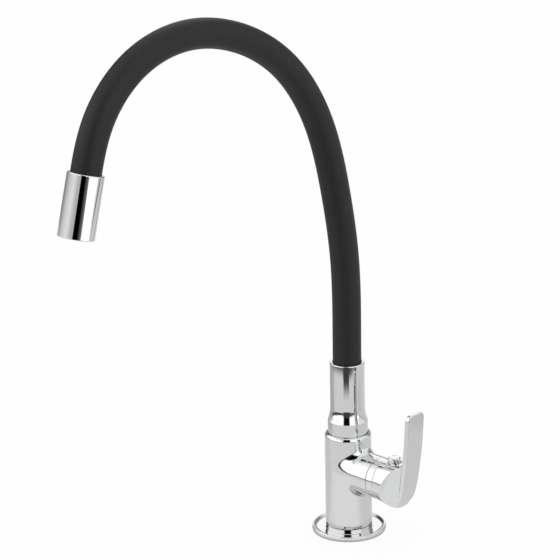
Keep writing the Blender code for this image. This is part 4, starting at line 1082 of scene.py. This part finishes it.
studio = {
    "floorSize": 12000.0,
    "floorColour": (0.80, 0.80, 0.80),
    "floorWhite": 0.93,
    "floorGloss": 0.82,
    "skyLow": 0.75,
    "skyHigh": 1.15,
    "skyRise": 0.5,  # sine of the elevation where the sky is at its brightest
    "skyGloss": 1.0,
    "skyPatches": (
        (180, 62, 8, -30, 42, 1.0, 8, 0.34),
        (-150, 14, 5, 8, 40, 3.0, 6, 0.09),
        (180, 17, 5, 10, 40, 3.0, 4, 1.25),
        (-78, 50, 5, -30, 44, 1.6, 8, 1.45),
        (38, 26, 6, -30, 44, 1.4, 8, 1.42),
        (-8.5, 17.5, 3, -40, 56, 0.4, 6, 0.004),
    ),
    "floorPatches": (
        # The first floor patch is a painted shadow: darker floor round the foot, which only gloss reflects.
        (0, 181, 0.1, -99, 34, 1, 5, 0.55),
        (-20, 62, 20, 34, 150, 3, 20, 0.93),
        (100, 45, 20, 34, 640, 3, 40, 0.76),
        (82, 14, 8, 232, 320, 16, 20, 0.68),
        (-135, 34, 14, 0, far, 1, 100, 0.72),
        (-135, 34, 14, 205, far, 25, 100, 0.52),
        (180, 110, 15, 650, far, 150, 100, 0.68),
        (-66, 36, 6, 620, far, 60, 100, 1.45),
        (43, 29, 6, 640, far, 60, 100, 1.42),
        (-32, 82, 24, 345, 560, 14, 90, 0.055),
        (0, 28, 16, 335, 1000, 14, 260, 0.09),
        (88, 10, 5, 690, 765, 20, 30, 0.10),
        (-8.5, 18.5, 3, 306, far, 24, 100, 0.06),
    ),
}


def paintPatches(finish, patches, level, across, deep, along):
    # across and deep are a level direction, and along is what a patch's start and end are measured in.
    length = finish.maths("SQRT", across * across + deep * deep)
    for middle, half, soft, low, high, lowSoft, highSoft, value in patches:
        facing = math.radians(middle - view["azimuth"])
        aligned = (across * math.cos(facing) + deep * math.sin(facing)) / length
        aside = finish.maths("ARCCOSINE", aligned) * math.degrees(1)
        share = 1 - finish.step(aside, half - soft, half + soft)
        share = share * finish.step(along, low - lowSoft, low + lowSoft)
        share = share * (1 - finish.step(along, high - highSoft, high + highSoft))
        level = level + (value - level) * share
    return level


def directionParts(finish, coordinates):
    place = finish.node("ShaderNodeTexCoord", output=coordinates)
    return [finish.node("ShaderNodeSeparateXYZ", inputs={"Vector": place}, output=axis) for axis in "XYZ"]


def addCard(name, points, faces, finish, shader, glossOnly=True):
    # A piece of the studio in millimetres, which is no part of the faucet.
    mesh = bpy.data.meshes.new(name)
    mesh.from_pydata([[value * mm for value in point] for point in points], [], faces)
    finish.node("ShaderNodeOutputMaterial", inputs={"Surface": shader})
    finish.material.cycles.emission_sampling = "NONE"
    mesh.materials.append(finish.material)
    card = bpy.data.objects.new(name, mesh)
    bpy.context.scene.collection.objects.link(card)
    if glossOnly:
        for kind in ("camera", "diffuse", "transmission", "volume_scatter", "shadow"):
            setattr(card, "visible_" + kind, False)
    return card


def addFloor():
    half = studio["floorSize"] / 2
    points = [(-half, -half, 0), (half, -half, 0), (half, half, 0), (-half, half, 0)]
    finish = Finish("paleFloor")
    x, y = directionParts(finish, "Object")[:2]
    away = finish.maths("SQRT", x * x + y * y) / mm
    seen = paintPatches(finish, studio["floorPatches"], studio["floorGloss"], x, y, away)
    matte = finish.node("ShaderNodeBsdfDiffuse", inputs={"Color": (*studio["floorColour"], 1)})
    white = finish.node("ShaderNodeEmission", inputs={"Color": (1, 1, 1, 1)})
    glossy = finish.node("ShaderNodeEmission", inputs={"Color": seen})
    plain = finish.mixed(finish.fromRay("Camera") * studio["floorWhite"], matte, white)
    both = finish.mixed(finish.fromRay("Glossy"), plain, glossy)
    addCard("floor", points, [(0, 1, 2, 3)], finish, both, glossOnly=False)


def setWorld():
    world = bpy.data.worlds.new("studioWorld")
    world.use_nodes = True
    bpy.context.scene.world = world
    finish = Finish("studioWorld", world.node_tree)
    x, y, z = directionParts(finish, "Generated")
    lift = finish.maths("ARCSINE", z) * math.degrees(1)
    rise = {"From Max": studio["skyRise"], "To Min": studio["skyLow"], "To Max": studio["skyHigh"]}
    sky = finish.node("ShaderNodeMapRange", {"clamp": True}, {"Value": z, **rise}, "Result")
    seen = paintPatches(finish, studio["skyPatches"], studio["skyGloss"], x, y, lift)
    soft = finish.node("ShaderNodeBackground", inputs={"Color": sky})
    glossy = finish.node("ShaderNodeBackground", inputs={"Color": seen})
    white = finish.node("ShaderNodeBackground", inputs={"Color": (1, 1, 1, 1)})
    both = finish.mixed(finish.fromRay("Glossy"), soft, glossy)
    whole = finish.mixed(finish.fromRay("Camera"), both, white)
    finish.node("ShaderNodeOutputWorld", inputs={"Surface": whole})


# A curved reflector round the nozzle; each shade is an azimuth and its brightness
reflector = {
    "radius": 100.0,
    "low": 262.0,
    "high": 340.0,
    "soft": 12.0,
    "start": -160.0,
    "end": 27.5,
    "sideSoft": 2.0,
    "steps": 48,
    "shades": (
        (-150, 0.40),
        (-134, 0.28),
        (-119, 0.45),
        (-90, 0.80),
        (-60, 1.0),
        (-47, 0.83),
        (-30, 0.57),
        (-21, 0.59),
        (-17.5, 0.0),
        (5, 0.0),
        (12, 0.06),
        (24, 0.22),
    ),
}


def addReflector():
    low, high, soft = reflector["low"], reflector["high"], reflector["soft"]
    start, end, count = reflector["start"], reflector["end"], reflector["steps"]
    width = end - start
    angles = np.radians(np.linspace(start, end, count) - view["azimuth"])
    ring = [(math.cos(a) * reflector["radius"], math.sin(a) * reflector["radius"]) for a in angles]
    points = [(*spot, height) for height in (low, high) for spot in ring]
    faces = [(i + 1, i, count + i, count + i + 1) for i in range(count - 1)]
    finish = Finish("reflectorCard")
    x, y, z = directionParts(finish, "Object")
    facing = math.radians((start + end) / 2 - view["azimuth"])
    along = x * math.cos(facing) + y * math.sin(facing)
    aside = y * math.cos(facing) - x * math.sin(facing)
    turn = finish.node("ShaderNodeMath", {"operation": "ARCTAN2"}, {0: aside, 1: along}) * math.degrees(1)
    stops = [((azimuth - start) / width, (shade,) * 3) for azimuth, shade in reflector["shades"]]
    shade = finish.node("ShaderNodeValToRGB", {"stops": stops}, {"Fac": turn / width + 0.5})
    share = finish.step(width / 2 - finish.maths("ABSOLUTE", turn), 0, reflector["sideSoft"])
    share = share * finish.step(z / mm, low, low + soft)
    share = share * (1 - finish.step(z / mm, high - soft, high))
    share = share * (1 - finish.node("ShaderNodeNewGeometry", output="Backfacing"))
    clear = finish.node("ShaderNodeBsdfTransparent")
    glow = finish.node("ShaderNodeEmission", inputs={"Color": shade})
    card = addCard("reflector", points, faces, finish, finish.mixed(share, clear, glow))
    card.location.y = float(alongHose(freeLength + nozzle["length"] / 2)[1]) * mm


# A narrow dark flag beyond the lever, which draws the thin stripe on the collar
flag = {
    "azimuth": 52.0,
    "distance": 210.0,
    "width": 52.0,
    "low": 0.5,
    "high": 62.0,
    "soft": 8.0,
    "shade": (0.07, 0.07, 0.07),
}


def addFlag():
    half = flag["width"] / 2
    low, high, soft = flag["low"], flag["high"], flag["soft"]
    points = [(-half, 0, low), (half, 0, low), (half, 0, high), (-half, 0, high)]
    finish = Finish("flagCard")
    x, _, z = directionParts(finish, "Object")
    share = 1 - finish.step(finish.maths("ABSOLUTE", x) / mm, half - soft, half)
    share = share * (1 - finish.step(z / mm, high - soft, high))
    clear = finish.node("ShaderNodeBsdfTransparent")
    dark = finish.node("ShaderNodeEmission", inputs={"Color": (*flag["shade"], 1)})
    card = addCard("darkFlag", points, [(0, 1, 2, 3)], finish, finish.mixed(share, clear, dark))
    facing = math.radians(flag["azimuth"] - view["azimuth"])
    place = Vector((math.cos(facing), math.sin(facing), 0)) * flag["distance"] * mm
    card.matrix_world = Matrix.Translation(place) @ Matrix.Rotation(facing + math.pi / 2, 4, "Z")


def addStudio():
    addFloor()
    setWorld()
    addReflector()
    addFlag()


addStudio()
bpy.context.scene.view_settings.view_transform = "Standard"
print("stage: studio set")

bpy.context.view_layer.update()
